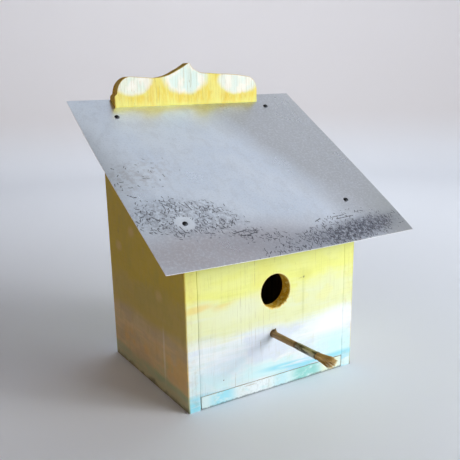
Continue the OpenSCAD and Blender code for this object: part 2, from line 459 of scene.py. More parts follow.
def wash(look, along=UPRIGHT):
    """Thin colour wash in level zones: sky blue at the foot, chalk white, cream, then lemon yellow.

    A zone changes where the height, shifted by slow drift, level brush strokes and the grain,
    passes its line. Returns the colour and the grain.
    """
    fine, broad = grain(look, along)
    drift = look.noise(8, (1, 1, 1.4), detail=2)
    stroke = look.noise(42, (0.20, 0.20, 2.4), detail=4, rough=0.62)
    cloud = look.noise(17, (1, 1, 1.8), detail=3, shift=(0.13, 0.4, 0.77))
    dab_cloud = look.noise(26, (1, 1, 1.3), detail=3, rough=0.6, shift=(0.71, 0.2, 0.33))
    level = look.xyz()[2]
    for noise, reach in ((drift, 0.030), (stroke, 0.022), (fine, 0.006)):
        level = look.stir(level, noise, reach)
    glaze = look.all_of(look.step(level, 0.078, 0.045), look.step(cloud, 0.52, 0.42))
    brushed = look.all_of(look.step(level, 0.10, 0.13), look.step(stroke, 0.50, 0.70))
    warm = look.all_of(look.step(level, 0.102, 0.125), look.step(dab_cloud, 0.50, 0.64))
    lemon = look.step(look.stir(level, cloud, 0.050), 0.141, 0.166)
    near_line = look.step(look.apart(level, 0.147), 0.010, 0.0)
    amber = look.all_of(near_line, look.step(drift, 0.53, 0.63))
    paler = look.all_of(look.step(level, 0.155, 0.18), look.step(cloud, 0.46, 0.66))
    grime = look.all_of(look.step(look.noise(90, detail=4, rough=0.7), 0.50, 0.72),
                        look.step(drift, 0.44, 0.60))
    paint = look.mix(look.step(stroke, 0.42, 0.62), CHALK, (0.82, 0.87, 0.89))
    paint = look.coats(
        paint,
        (look.step(cloud, 0.50, 0.62), 0.55, LAVENDER),
        (glaze, 0.6, PALE_SKY),
        (look.step(level, 0.088, 0.110), 1.0, CREAM),
        (brushed, 0.7, (0.77, 0.83, 0.60)),
        (warm, 0.55, (0.80, 0.82, 0.36)),
        (lemon, 1.0, LEMON),
        (amber, 0.6, AMBER),
        (paler, 0.6, (0.81, 0.85, 0.33)),
        (grime, 0.16, (0.52, 0.56, 0.22)),
    )
    bristle_lines = look.noise(95, (0.12, 0.12, 3.2), detail=4, rough=0.65, warp=0.3,
                               shift=(0.6, 0.2, 0.1))
    streaked = look.all_of(look.step(bristle_lines, 0.42, 0.66), look.step(dab_cloud, 0.40, 0.60))
    thin_coat = look.mix(streaked, (1.0, 1.0, 1.0), (0.95, 0.955, 0.92))
    paint = look.mix(1.0, paint, thin_coat, "MULTIPLY")
    dab = look.noise(30, (0.35, 0.35, 2.2), detail=3, rough=0.6, shift=(0.31, 0.5, 0.11))
    foot = look.all_of(look.step(level, 0.030, 0.012), look.step(dab, 0.44, 0.58))
    return look.tint(paint, foot, 0.9, SKY), fine, broad


def painted(name, along=UPRIGHT, extra=None):
    """Wash over sawn boards: the wood shows through faintly, with thin checks and a chalky surface.

    extra adds the marks of one board, and takes and returns its colour and its checks.
    """
    look = Look(name, Specular_IOR_Level=0.3)
    paint, fine, broad = wash(look, along)
    thin = look.all_of(look.step(broad, 0.50, 0.70), look.step(fine, 0.42, 0.66))
    colour = look.coats(paint, (thin, 0.13, PINE), (look.step(fine, 0.56, 0.76), 0.17, PINE_DARK))
    checks = cracks(look, along, 70, 0.52, 0.62)
    if extra:
        colour, checks = extra(look, colour, checks)
    broken = look.step(look.noise(260, (1, 1, 0.35), detail=3), 0.34, 0.56)
    checks = look.all_of(checks, broken)
    colour = look.tint(colour, checks, 0.48, PINE_DARK)
    height = look.minus(look.times(broad, 0.5), look.times(fine, 0.5))
    height = look.add(height, look.noise(220, (0.3, 0.3, 1.6), detail=3), 0.15)
    look.bump(look.minus(height, look.times(checks, 0.6)), 0.0006, 0.55)
    return look.finish(colour, look.add(0.55, fine, 0.3))


def upright_line(look, u, v, at, low, high, width=0.0005):
    """A thin line up the grain at u = at, from v = low to v = high, fading at both ends."""
    wave = look.times(look.minus(look.noise(60, UPRIGHT, detail=2), 0.5), 0.0016)
    off = look.apart(look.add(u, wave), at)
    fade = (high - low) * 0.25
    return look.all_of(look.step(off, width, width * 0.3), look.step(v, low, low + fade),
                       look.step(v, high, high - fade))


def front_zones(look, colour):
    """Brushed areas on the whole front: a white cloud, sky strokes at the foot and lavender shade."""
    x, y, z = look.xyz()
    stroke = look.noise(60, (0.18, 1, 2.4), detail=3, rough=0.6, shift=(0.2, 0, 0.6))
    face = look.step(y, FRONT_Y + 0.003, FRONT_Y + 0.001)
    ragged = look.step(stroke, 0.34, 0.54)
    # centre and half size as (x, z), tone, strength, tilt
    soft_areas = (
        ((0.112, 0.084), (0.046, 0.019), (0.88, 0.92, 0.94), 0.80, 0.12),
        ((0.116, 0.043), (0.050, 0.021), PALE_SKY, 0.60, 0.0),
        ((-0.085, 0.056), (0.044, 0.018), LAVENDER, 0.40, 0.25),
        ((-0.118, 0.035), (0.030, 0.014), PALE_SKY, 0.45, 0.0),
        ((-0.130, 0.149), (0.020, 0.005), AMBER, 0.55, 0.1),
        ((-0.140, 0.190), (0.014, 0.045), (0.84, 0.74, 0.14), 0.35, 0.0),
        ((-0.052, 0.024), (0.024, 0.005), (0.84, 0.80, 0.66), 0.15, 0.0),
        ((-0.038, 0.034), (0.034, 0.013), PALE_SKY, 0.55, 0.1),
    )
    for centre, size, tone, strength, tilt in soft_areas:
        area = look.all_of(look.patch(x, z, centre, size, 0.6, tilt), face)
        colour = look.tint(colour, area, strength, tone)
    sky_strokes = (
        ((0.092, 0.0225), (0.075, 0.0062), 0.03),
        ((0.030, 0.030), (0.050, 0.0050), -0.05),
        ((-0.139, 0.009), (0.014, 0.011), 0.0),
    )
    for centre, size, tilt in sky_strokes:
        area = look.all_of(look.patch(x, z, centre, size, 0.5, tilt), ragged, face)
        colour = look.tint(colour, area, 0.95, (0.30, 0.70, 0.82))
    return colour, face


def front_marks(look, colour, checks):
    """Front panel: its brushed areas, a nail hole with a stain below it, and long checks."""
    x, _, z = look.xyz()
    colour, face = front_zones(look, colour)

    def spot(*ellipse):
        return look.all_of(look.patch(x, z, *ellipse), face)

    scrape = spot((0.0455, 0.1630), (0.0042, 0.0006), 0.6, 0.15)
    rim_halo = spot((0.0, ENTRANCE_Z), (0.0275, 0.0275), 0.05)
    haze = spot((-0.020, 0.165), (0.016, 0.040), 0.7)
    pale = spot((-0.052, 0.137), (0.048, 0.016), 0.6, 0.2)
    halo = spot((0.052, 0.167), (0.012, 0.009), 0.7)
    stain = spot((0.0495, 0.133), (0.0022, 0.034), 0.7)
    hole = spot((0.0505, 0.1635), (0.0011, 0.0017), 0.5, -0.3)
    colour = look.coats(
        colour,
        (scrape, 0.5, (0.42, 0.36, 0.12)),
        (rim_halo, 0.30, (0.86, 0.84, 0.42)),
        (haze, 0.30, (0.82, 0.76, 0.16)),
        (pale, 0.45, (0.78, 0.84, 0.66)),
        (halo, 0.22, (0.52, 0.50, 0.08)),
        (stain, 0.28, (0.50, 0.55, 0.20)),
        (hole, 0.75, (0.10, 0.09, 0.05)),
    )
    # x, foot, top, depth
    long_checks = (
        (-0.0365, 0.145, 0.26, 1.0), (-0.052, 0.115, 0.22, 0.45), (-0.0595, 0.070, 0.160, 0.60),
        (-0.046, 0.066, 0.150, 0.55), (-0.036, 0.070, 0.150, 0.60), (-0.022, 0.085, 0.144, 0.60),
        (-0.0655, 0.090, 0.190, 0.40), (-0.030, 0.075, 0.125, 0.45), (-0.110, 0.040, 0.120, 0.40),
        (-0.107, 0.028, 0.070, 0.45), (0.0495, 0.100, 0.160, 0.35), (0.083, 0.15, 0.24, 0.25),
    )
    for at, low, high, depth in long_checks:
        line = look.all_of(upright_line(look, x, z, at, low, high), face)
        checks = look.most(checks, look.times(line, depth))
    return colour, checks


def side_marks(look, colour, checks):
    """Side walls: wash darkened and turned brown as painted shade, rusty stains low down, one pale run,
    a few pink spots, a painted contact shadow along the foot and a darker band under the roof.
    """
    x, y, z = look.xyz()
    colour, _ = front_zones(look, colour)
    back = look.minus(y, FRONT_Y)
    outer = look.step(look.math("ABSOLUTE", x), HALF_BOX - 0.003, HALF_BOX - 0.001)
    cloud = look.noise(34, (1, 1, 0.8), detail=3, rough=0.6, shift=(0.5, 0.1, 0.3))
    # Painted shade: the outer faces are darkened and turned brown, in full on the left wall and 0.4 of
    # it on the right, darkest above the middle.
    shaded = look.add(look.times(look.step(x, 0.10, -0.10), 0.6), outer, 0.4)
    shade_brown = look.mix(look.step(look.stir(z, cloud, 0.03), 0.075, 0.115),
                       (0.81, 0.59, 0.31), (0.67, 0.51, 0.235))
    colour = look.mix(look.times(outer, shaded), colour, shade_brown, "MULTIPLY")
    dirt = look.step(look.noise(58, (1, 1, 0.5), detail=4, rough=0.68, shift=(0.2, 0.7, 0.4)),
                     0.50, 0.74)
    colour = look.tint(colour, look.all_of(dirt, outer), 0.26, (0.36, 0.29, 0.11))
    # centre and half size as (distance behind the front, z), strength
    stains = (
        ((0.195, 0.052), (0.030, 0.014), 0.60),
        ((0.140, 0.050), (0.020, 0.010), 0.45),
        ((0.026, 0.052), (0.040, 0.024), 0.60),
        ((0.090, 0.060), (0.026, 0.016), 0.25),
    )
    for centre, size, strength in stains:
        area = look.all_of(look.patch(back, z, centre, size, 0.6), look.step(cloud, 0.36, 0.56), outer)
        colour = look.tint(colour, area, strength, (0.74, 0.48, 0.16))
    for centre in ((0.217, 0.196), (0.165, 0.227), (0.080, 0.150)):
        pink = look.all_of(look.patch(back, z, centre, (0.010, 0.007), 0.7), outer)
        colour = look.tint(colour, pink, 0.24, (0.80, 0.62, 0.50))
    band = look.all_of(look.step(look.stir(z, cloud, 0.02), 0.028, 0.014), outer)
    # Painted contact shadow: a dark ragged band along the foot of the outer faces.
    foot_shadow = look.add(look.stir(z, cloud, 0.022), dirt, -0.006)
    foot_shadow = look.all_of(look.step(foot_shadow, 0.0085, -0.0010), outer)
    run = look.all_of(look.patch(back, z, (0.0695, 0.062), (0.0028, 0.036), 0.6), outer)
    mottle = look.step(look.noise(120, detail=3, rough=0.65), 0.45, 0.70)
    moss = look.noise(21, (1, 1, 0.7), detail=4, rough=0.65, shift=(0.9, 0.3, 0.5))
    olive = look.all_of(look.step(moss, 0.46, 0.62), look.step(z, 0.09, 0.13), outer)
    below_roof = look.minus(look.add(UNDER_Z, back, SLOPE), z)
    # Darker in a mottled band just under the roof sheet.
    darker_under_roof = look.all_of(look.step(below_roof, 0.060, 0.004), look.step(mottle, -0.4, 1.0), outer)
    colour = look.coats(
        colour,
        (band, 0.80, (0.44, 0.46, 0.29)),
        (foot_shadow, 0.80, (0.14, 0.15, 0.10)),
        (run, 0.35, (0.86, 0.84, 0.74)),
        (mottle, 0.14, PINE),
        (olive, 0.32, (0.40, 0.36, 0.09)),
        (darker_under_roof, 0.45, (0.34, 0.27, 0.06)),
    )
    return colour, checks


def floor_marks(look, colour, checks):
    """Front edge of the floor: chalk white, scuffed in the middle, with sky and sea-green dabs, and a
    dark ragged line along its bottom edge, part wear and part painted contact shadow.

    The underside is bare sawn wood with splashes of the wash.
    """
    x, y, z = look.xyz()
    face = look.step(y, FRONT_Y + 0.004, FRONT_Y + 0.001)
    fleck = look.noise(160, (1, 1, 0.4), detail=3, rough=0.6)
    dab = look.noise(70, (0.6, 1, 1.2), detail=3, rough=0.6, shift=(0.4, 0, 0.2))
    colour = look.mix(face, colour, (0.66, 0.82, 0.84))
    # x, half width, tone, strength
    dabs = (
        (-0.090, 0.020, SKY, 0.95),
        (-0.038, 0.034, (0.78, 0.85, 0.87), 0.9),
        (0.010, 0.012, (0.46, 0.76, 0.82), 0.60),
        (0.058, 0.026, (0.28, 0.64, 0.60), 0.95),
        (0.106, 0.018, (0.78, 0.84, 0.60), 0.8),
    )
    for centre, half, tone, strength in dabs:
        area = look.patch(x, z, (centre, 0.008), (half, 0.026), 0.5)
        area = look.all_of(area, face, look.step(dab, 0.30, 0.50))
        colour = look.tint(colour, area, strength, tone)
    worn_through = look.all_of(face, look.step(fleck, 0.56, 0.70))
    scuffs = look.all_of(look.patch(x, z, (-0.030, 0.009), (0.036, 0.014), 0.5), face,
                         look.step(look.noise(340, (1, 1, 0.6), detail=3, rough=0.7), 0.50, 0.64))
    sawn = look.mix(look.step(look.noise(150, ACROSS, detail=4, rough=0.6), 0.40, 0.62),
                    (0.62, 0.49, 0.31), (0.44, 0.32, 0.18))
    under = look.all_of(look.step(z, 0.0016, 0.0008), look.step(y, FRONT_Y + 0.002, FRONT_Y + 0.007))
    splashed = look.step(look.noise(24, (1, 1.6, 1), detail=3, shift=(0.2, 0.5, 0)), 0.66, 0.54)
    # Dark ragged line along the bottom edge: edge wear and a painted contact shadow.
    foot = look.all_of(look.step(look.stir(z, fleck, 0.006), 0.0036, 0.0014), face)
    colour = look.coats(
        colour,
        (worn_through, 0.22, (0.52, 0.56, 0.44)),
        (scuffs, 0.26, (0.40, 0.46, 0.48)),
        (look.all_of(under, splashed), 1.0, sawn),
        (foot, 0.80, (0.17, 0.22, 0.22)),
    )
    return colour, checks


def bare_pine(name, tone=1.0, along=UPRIGHT):
    """Unpainted sawn softwood gone brown: light early wood, darker late wood."""
    look = Look(name, Specular_IOR_Level=0.3)
    fine, broad = grain(look, along)
    light = tuple(c * tone for c in (0.62, 0.42, 0.20))
    dark = tuple(c * tone for c in (0.36, 0.21, 0.08))
    colour = look.mix(look.step(broad, 0.42, 0.66), light, dark)
    colour = look.tint(colour, look.step(fine, 0.45, 0.75), 0.4, dark)
    look.bump(fine, 0.0006, 0.6)
    return look.finish(colour, 0.8)


def raw_bore(name):
    """Torn end grain inside a drilled hole: orange brown, rough, paler where the rim has chipped."""
    look = Look(name, Roughness=0.8, Specular_IOR_Level=0.25)
    fibre = look.noise(620, (1, 0.15, 1), detail=4, rough=0.7)
    patch = look.noise(150, detail=2)
    colour = look.mix(look.step(fibre, 0.35, 0.65), (0.94, 0.63, 0.06), (0.66, 0.37, 0.02))
    colour = look.mix(look.step(patch, 0.48, 0.66), colour, (0.96, 0.76, 0.20))
    y = look.xyz()[1]
    lip = look.all_of(look.step(y, FRONT_Y + 0.0034, FRONT_Y + 0.0008),
                      look.step(fibre, 0.40, 0.56))
    colour = look.tint(colour, lip, 0.85, (0.93, 0.82, 0.36))
    look.bump(fibre, 0.0012, 0.9)
    return look.finish(colour)


def crest_paint(name):
    """Gold wash with three soft pale scallops, over upright grain; the wash below the roof line."""
    look = Look(name, Specular_IOR_Level=0.3)
    fine, broad = grain(look, UPRIGHT)
    x, y, z = look.xyz()
    stroke = look.noise(95, (1.3, 1, 0.35), detail=4, rough=0.62)
    dapple = look.noise(48, (1, 1, 0.8), detail=3)
    paint = look.mix(look.step(stroke, 0.35, 0.65), GOLD, (0.82, 0.76, 0.22))
    paint = look.tint(paint, look.step(dapple, 0.5, 0.66), 0.45, (0.80, 0.58, 0.08))
    foot_z = TOP_Z + (BACK_Y - BOARD - FRONT_Y) * SLOPE
    rise = look.minus(z, foot_z)
    wobble = look.add(look.minus(stroke, 0.5), look.minus(dapple, 0.5))
    on_face = look.step(y, BACK_Y - BOARD + 0.0016, BACK_Y - BOARD + 0.0008)
    # centre and half size as (x, height over the roof), tone
    scallops = (
        ((-0.099, 0.038), (0.034, 0.021), (0.80, 0.86, 0.74)),
        ((-0.006, 0.044), (0.041, 0.027), MINT),
        ((0.094, 0.036), (0.039, 0.021), (0.78, 0.86, 0.80)),
    )
    for centre, size, tone in scallops:
        u = look.math("DIVIDE", look.minus(x, centre[0]), size[0])
        v = look.math("DIVIDE", look.minus(rise, centre[1]), size[1])
        away = look.add(look.vector("LENGTH", look.join(u, v)), wobble, 0.30)
        disc = look.all_of(look.step(away, 1.14, 0.80), on_face)
        heart = look.patch(x, rise, (centre[0] + 0.004, centre[1] - 0.004),
                           (size[0] * 0.55, size[1] * 0.6), 0.6)
        heart = look.all_of(heart, look.step(stroke, 0.35, 0.6))
        pale = look.tint(tone, heart, 0.40, (0.62, 0.82, 0.84))
        pale = look.mix(look.step(dapple, 0.48, 0.62), pale, (0.88, 0.89, 0.82))
        paint = look.tint(paint, disc, 0.94, pale)
    thin = look.all_of(look.step(broad, 0.50, 0.70), look.step(fine, 0.40, 0.65))
    paint = look.tint(paint, thin, 0.18, PINE)
    checks = look.most(cracks(look, UPRIGHT, 150, 0.36, 0.50), cracks(look, UPRIGHT, 260, 0.42, 0.56))
    for spacing, depth in ((0.0052, 0.68), (0.0037, 0.40)):
        turn = look.times(look.add(x, look.noise(30, (1, 1, 0.2), detail=2), 0.010), 1 / spacing)
        line = look.step(look.apart(look.math("FRACT", turn), 0.5), 0.11, 0.03)
        patchy = look.noise(110, (1, 1, 0.3), detail=2, shift=(spacing, 0, 0))
        line = look.all_of(line, look.step(patchy, 0.40, 0.60))
        checks = look.most(checks, look.times(line, depth))
    paint = look.tint(paint, checks, 0.5, (0.38, 0.27, 0.05))
    low_wash = wash(look)[0]
    paint = look.mix(look.step(look.stir(z, dapple, 0.03), foot_z - 0.010, foot_z + 0.012),
                     low_wash, paint)
    height = look.minus(look.times(broad, 0.5), look.times(fine, 0.5))
    look.bump(look.minus(height, look.times(checks, 0.6)), 0.0006, 0.6)
    return look.finish(paint, 0.68)


def crest_edge(name):
    """Sawn edge of the crest: a thin brownish gold coat on the end grain, darker than the face as
    painted shade.
    """
    look = Look(name, Roughness=0.75, Specular_IOR_Level=0.25)
    fibre = look.noise(420, (1, 0.2, 1), detail=4, rough=0.65)
    patch = look.noise(60, detail=2)
    # The darker brownish gold is painted shade on the edges.
    colour = look.mix(look.step(fibre, 0.38, 0.64), (0.70, 0.47, 0.05), (0.46, 0.29, 0.035))
    colour = look.mix(look.step(patch, 0.50, 0.66), colour, (0.66, 0.52, 0.12))
    low_wash = wash(look)[0]
    colour = look.mix(look.step(look.xyz()[2], TOP_Z, TOP_Z + 0.10), low_wash, colour)
    look.bump(fibre, 0.0008, 0.6)
    return look.finish(colour)


def strokes(look, u, v, cell, length, width, density, shift):
    """Short dark scratches: one in each cell of a Voronoi pattern, each with its own direction.

    A point is in the scratch when it is within width of a slightly bent line through the cell's own
    point and within length of that point; density (0 to 1) says what share of the cells have one.
    """
    at = look.join(look.add(u, shift), v)
    cells = look.tree.nodes.new("ShaderNodeTexVoronoi")
    cells.voronoi_dimensions = "2D"
    look.put(cells.inputs["Vector"], at)
    cells.inputs["Scale"].default_value = 1 / cell
    centre = look.vector("MULTIPLY", cells.outputs["Position"], (1, 1, 0))
    off = look.xyz(look.vector("SUBTRACT", at, centre))
    chance = look.xyz(cells.outputs["Color"])
    angle = look.stir(1.9, chance[0], 2.5)
    cos = look.math("COSINE", angle)
    sin = look.math("SINE", angle)
    along = look.add(look.times(off[0], cos), look.times(off[1], sin))
    aside = look.minus(look.times(off[1], cos), look.times(off[0], sin))
    bend = look.times(look.times(along, along), 70.0)
    near = look.step(look.math("ABSOLUTE", look.add(aside, bend)), width, width * 0.35)
    short = look.step(look.math("ABSOLUTE", along), length, length * 0.7)
    there = look.math("LESS_THAN", chance[1], density)
    return look.all_of(near, short, there)


def long_stroke(look, place, start, end, width):
    """One scratch from start to end: 1 near the line between them, with rounded, fading ends."""
    a = Vector((*start, 0)) * MM
    along = Vector((*end, 0)) * MM - a
    off = look.vector("SUBTRACT", place, tuple(a))
    share = look.math("DIVIDE", look.vector("DOT_PRODUCT", off, tuple(along)), along.length_squared,
                      clamp=True)
    nearest = look.vector("MULTIPLY", look.join(share, share, share), tuple(along))
    return look.step(look.vector("LENGTH", look.vector("SUBTRACT", off, nearest)), width,
                     width * 0.3)


# Long scratches on the roof: (x, distance up the slope) of both ends, in millimetres.
LONG_SCRATCHES = (((-78, -17), (-58, -14)), ((-66, -24), (-42, -20)), ((-60, -17), (-38, -18)),
                  ((-72, -21), (-56, -25)), ((91, -16), (112, -15)), ((95, -20.5), (127, -19)),
                  ((57, -19), (68, -15)), ((143, -11), (151, -14)), ((-152, 58), (-144, 49)),
                  ((-174, 35), (-167, 25)), ((-66, 8), (-74, -3)), ((-118, 53), (-115, 37)),
                  ((-126, 54), (-119, 42)), ((-146, 8), (-143, -3)), ((-152, 6), (-150, -3)),
                  ((-100, 41), (-92, 35)), ((-84, 18), (-79, 7)), ((-188, 84), (-180, 76)))


def galvanised(name):
    """Dull zinc-coated sheet: cool grey, a greyer right side, dark scuffs low down and a smudge, with a
    painted reflection along the upper left edge and a painted highlight round the front-left screw.
    """
    look = Look(name, Metallic=1.0)
    x, y, _ = look.xyz()
    s = look.math("DIVIDE", look.minus(y, FRONT_Y), math.cos(PITCH))
    place = look.join(x, s)

    def mottled(scale, low, high, **noise):
        return look.step(look.noise(scale, at=place, **noise), low, high)

    def area(*ellipse):
        return look.patch(x, s, *ellipse)

    cloud = look.noise(14, detail=3, at=place)
    speck = look.noise(430, detail=2, rough=0.7, at=place)
    rolled = look.noise(220, (0.2, 1, 1), detail=3, at=place)
    diagonal = look.stir(look.add(x, s, 0.40), cloud, 0.05)
    warm = area((-0.120, -0.040), (0.150, 0.040), 0.7)
    # Lighter along the upper left edge: painted reflection.
    edge_reflection = area((-0.200, 0.185), (0.036, 0.100), 0.8)
    handled = mottled(70, 0.46, 0.64, stretch=(1, 0.6, 1), detail=5, rough=0.68, warp=0.4,
                      shift=(0.3, 0.8, 0))
    spangle = mottled(260, 0.54, 0.36, detail=3, rough=0.7)
    from_screw = look.vector("DISTANCE", place, (*SCREWS[0], 0))
    zinc = look.mix(look.step(cloud, 0.35, 0.65), (0.72, 0.78, 0.89), (0.78, 0.83, 0.92))
    zinc = look.coats(
        zinc,
        (look.step(diagonal, 0.080, 0.165), 1.0, (0.49, 0.50, 0.53)),
        (warm, 0.90, (0.50, 0.455, 0.475)),
        (edge_reflection, 0.7, (0.90, 0.94, 1.0)),
        (handled, 0.26, (0.58, 0.605, 0.67)),
        (look.step(speck, 0.50, 0.72), 0.34, (0.46, 0.49, 0.55)),
        (spangle, 0.24, (0.86, 0.89, 0.94)),
        # Lighter disc round the front-left screw: painted highlight on its dimple.
        (look.step(from_screw, 0.017, 0.011), 0.50, (0.84, 0.87, 0.92)),
    )

    clear = look.step(from_screw, 0.012, 0.016)
    low_left = look.all_of(area((-0.128, 0.024), (0.072, 0.036), 0.30, -0.25), clear)
    middle = area((-0.045, -0.026), (0.042, 0.013), 0.5, -0.2)
    low_right = area((0.080, -0.048), (0.115, 0.021), 0.40, 0.09)
    by_screw = area((0.110, -0.016), (0.050, 0.007), 0.6, 0.1)
    left_edge = area((-0.160, 0.118), (0.055, 0.030), 0.6, 0.2)
    thick = area((0.112, -0.047), (0.075, 0.018), 0.5, 0.09)
    density = look.times(low_left, 0.95)
    for share, weight in ((middle, 0.9), (low_right, 1.0), (by_screw, 0.45), (left_edge, 0.12)):
        density = look.most(density, look.times(share, weight))
    density = look.all_of(density, mottled(75, 0.34, 0.48, detail=3),
                          mottled(42, 0.34, 0.52, detail=2, shift=(0.2, 0.3, 0)))
    marks = strokes(look, x, s, 0.0074, 0.0036, 0.00085, density, 0.0)
    # cell, length, width, density, shift
    finer = (
        (0.0064, 0.0031, 0.00078, density, 0.537),
        (0.0052, 0.0025, 0.00068, density, 0.911),
        (0.0056, 0.0025, 0.00080, thick, 0.273),
    )
    for stroke_kind in finer:
        marks = look.most(marks, strokes(look, x, s, *stroke_kind))
    for start, end in LONG_SCRATCHES:
        marks = look.most(marks, long_stroke(look, place, start, end, 0.00110))
    marks = look.times(marks, mottled(300, 0.30, 0.50, detail=2))

    smudge = look.all_of(area((0.120, -0.044), (0.062, 0.015), 0.6, 0.12),
                         mottled(190, 0.40, 0.58, detail=4, rough=0.7))
    haze = area((0.110, -0.046), (0.095, 0.020), 0.7, 0.10)
    scuffed = look.all_of(look.most(low_left, look.times(low_right, 0.8)),
                          mottled(130, 0.36, 0.62, detail=4, rough=0.7))
    corner = area((0.205, -0.030), (0.034, 0.050), 0.8)
    front_band = area((-0.015, -0.040), (0.090, 0.020), 0.7, -0.10)
    grimy = look.all_of(left_edge, mottled(95, 0.44, 0.62, detail=4, rough=0.7))
    zinc = look.coats(
        zinc,
        (corner, 0.60, (0.46, 0.48, 0.48)),
        (grimy, 0.45, (0.50, 0.48, 0.50)),
        (scuffed, 0.60, (0.38, 0.39, 0.44)),
        (front_band, 0.36, (0.33, 0.34, 0.40)),
        (haze, 0.46, (0.27, 0.29, 0.35)),
        (smudge, 0.75, (0.10, 0.11, 0.15)),
        (marks, 0.85, (0.08, 0.08, 0.10)),
    )
    rough = look.add(0.27, look.step(cloud, 0.3, 0.7), 0.06)
    rough = look.add(rough, look.most(marks, smudge), 0.25)
    look.bump(look.add(look.times(rolled, 0.3), look.times(speck, 0.4)), 0.0002, 0.25)
    return look.finish(zinc, rough)


def cut_edge(name):
    """Sheared edge of the sheet: bright metal, slightly dulled in patches."""
    look = Look(name, Metallic=0.1, Roughness=0.40)
    colour = look.mix(look.step(look.noise(300, detail=2), 0.4, 0.7), (0.95, 0.95, 0.96),
                      (0.74, 0.75, 0.79))
    return look.finish(colour)


def dark_steel(name, light=(0.10, 0.11, 0.13), dark=(0.03, 0.035, 0.04)):
    """Blackened steel, a little rubbed."""
    look = Look(name, Metallic=0.8)
    rub = look.noise(900, detail=3)
    colour = look.mix(look.step(rub, 0.45, 0.70), dark, light)
    look.bump(rub, 0.0001, 0.4)
    return look.finish(colour, look.add(0.35, look.times(rub, 0.25)))


def old_handle(name):
    """Varnished brush handle, worn through in streaks along its length."""
    look = Look(name, Specular_IOR_Level=0.4)
    streak = look.noise(700, (1, 0.04, 1), detail=4, rough=0.6)
    patch = look.noise(160, (1, 0.35, 1), detail=3, rough=0.6)
    colour = look.mix(look.step(streak, 0.35, 0.68), (0.42, 0.27, 0.115), (0.21, 0.13, 0.055))
    colour = look.mix(look.step(patch, 0.50, 0.66), colour, (0.30, 0.19, 0.07))
    from_front = look.minus(FRONT_Y, look.xyz()[1])
    collar = look.step(look.apart(from_front, 0.0545), 0.0040, 0.0015)
    colour = look.tint(colour, collar, 0.8, (0.11, 0.045, 0.02))
    # Painted shade: darker next to the panel, where the handle goes into its hole.
    root = look.step(from_front, 0.006, 0.001)
    colour = look.tint(colour, root, 0.5, (0.16, 0.09, 0.04))
    look.bump(streak, 0.0004, 0.5)
    return look.finish(colour, look.add(0.42, look.times(patch, 0.3)))


def tarnished(name):
    """Old nickelled ferrule: dark olive tarnish drawn out along it, with paler rubbed streaks."""
    look = Look(name, Metallic=0.85)
    stain = look.noise(300, (1, 0.16, 1), detail=4, rough=0.6)
    rub = look.noise(150, (1, 0.12, 1), detail=2, shift=(0.4, 0, 0))
    colour = look.mix(look.step(stain, 0.36, 0.64), (0.40, 0.37, 0.29), (0.07, 0.06, 0.04))
    colour = look.tint(colour, look.step(rub, 0.52, 0.66), 0.8, (0.58, 0.50, 0.46))
    look.bump(stain, 0.0002, 0.4)
    return look.finish(colour, look.add(0.30, stain, 0.30))


def bristle(name):
    """Stiff natural bristle: golden brown, each strand a little different, darker at the root."""
    look = Look(name, Roughness=0.5, Specular_IOR_Level=0.4)
    shade = look.tree.nodes.new("ShaderNodeAttribute")
    shade.attribute_name = "strand"
    colour = look.mix(shade.outputs["Fac"], (0.64, 0.41, 0.12), (0.98, 0.82, 0.45))
    root = look.step(look.xyz()[1], FRONT_Y - 0.112, FRONT_Y - 0.100)
    return look.finish(look.tint(colour, root, 0.35, (0.24, 0.13, 0.04)))


def splinter(name):
    """Grey-brown broken wood."""
    look = Look(name, Roughness=0.85, Specular_IOR_Level=0.2)
    fibre = look.noise(900, (1, 0.3, 0.3), detail=3)
    colour = look.mix(look.step(fibre, 0.35, 0.65), (0.30, 0.22, 0.13), (0.14, 0.10, 0.06))
    look.bump(fibre, 0.0005, 0.6)
    return look.finish(colour)


side_paint = painted("wash_on_side_walls", extra=side_marks)
panel_paint = painted("wash_on_front_panel", extra=front_marks)
floor_paint = painted("wash_on_floor_board", along=ACROSS, extra=floor_marks)
inside = bare_pine("bare_pine_inside", 0.55)
bare = bare_pine("bare_pine_across", 0.8, ACROSS)
floor_inside = bare_pine("bare_pine_floor", 0.65, ACROSS)
bore = raw_bore("torn_end_grain")
crest = crest_paint("gold_crest")
shaded_crest_edge = crest_edge("gold_crest_edge_painted_shade")
zinc = galvanised("galvanised_sheet")
shear = cut_edge("sheared_edge")


# ---------------------------------------------------------------- boards
def side_wall(side, node):
    """Side wall: a four-cornered board whose top follows the roof. The outer face is painted."""
    inset = EDGE_INSET
    y0 = FRONT_Y + inset
    y1 = BACK_Y - inset
    drop = inset / math.cos(PITCH)
    corners = [(y0, inset), (y1, inset)]
    corners += [(y, UNDER_Z + (y - FRONT_Y) * SLOPE - drop) for y in (y1, y0)]
    grid = mapped(100, 70, corners)
    outer = side * HALF_BOX
    inner = side * HALF_INSIDE
    return board(node, "box", "x", grid, grid, outer, inner, [side_paint, inside], back_slot=1)


def ring(hole_centre, hole_radius, loop, rows, ease=1.6):
    """Flat face round a hole: straight spokes from the hole's edge to the loop, closer near the hole."""
    spoke = loop - hole_centre
    angle = np.arctan2(spoke[:, 1], spoke[:, 0])
    start = hole_centre + hole_radius(angle)[:, None] * np.stack([np.cos(angle), np.sin(angle)], 1)
    share = (np.linspace(0, 1, rows) ** ease)[:, None, None]
    return start + (loop - start) * share


def box_loop(x0, x1, z0, z1, across, up):
    """Anticlockwise rectangle: its sides in the order right, top, left and bottom."""
    xs = np.linspace(x0, x1, across + 1)
    zs = np.linspace(z0, z1, up + 1)
    right = np.stack([np.full(up, x1), zs[:-1]], 1)
    top = np.stack([xs[:0:-1], np.full(across, z1)], 1)
    left = np.stack([np.full(up, x0), zs[:0:-1]], 1)
    bottom = np.stack([xs[:-1], np.full(across, z0)], 1)
    return right, top, left, bottom


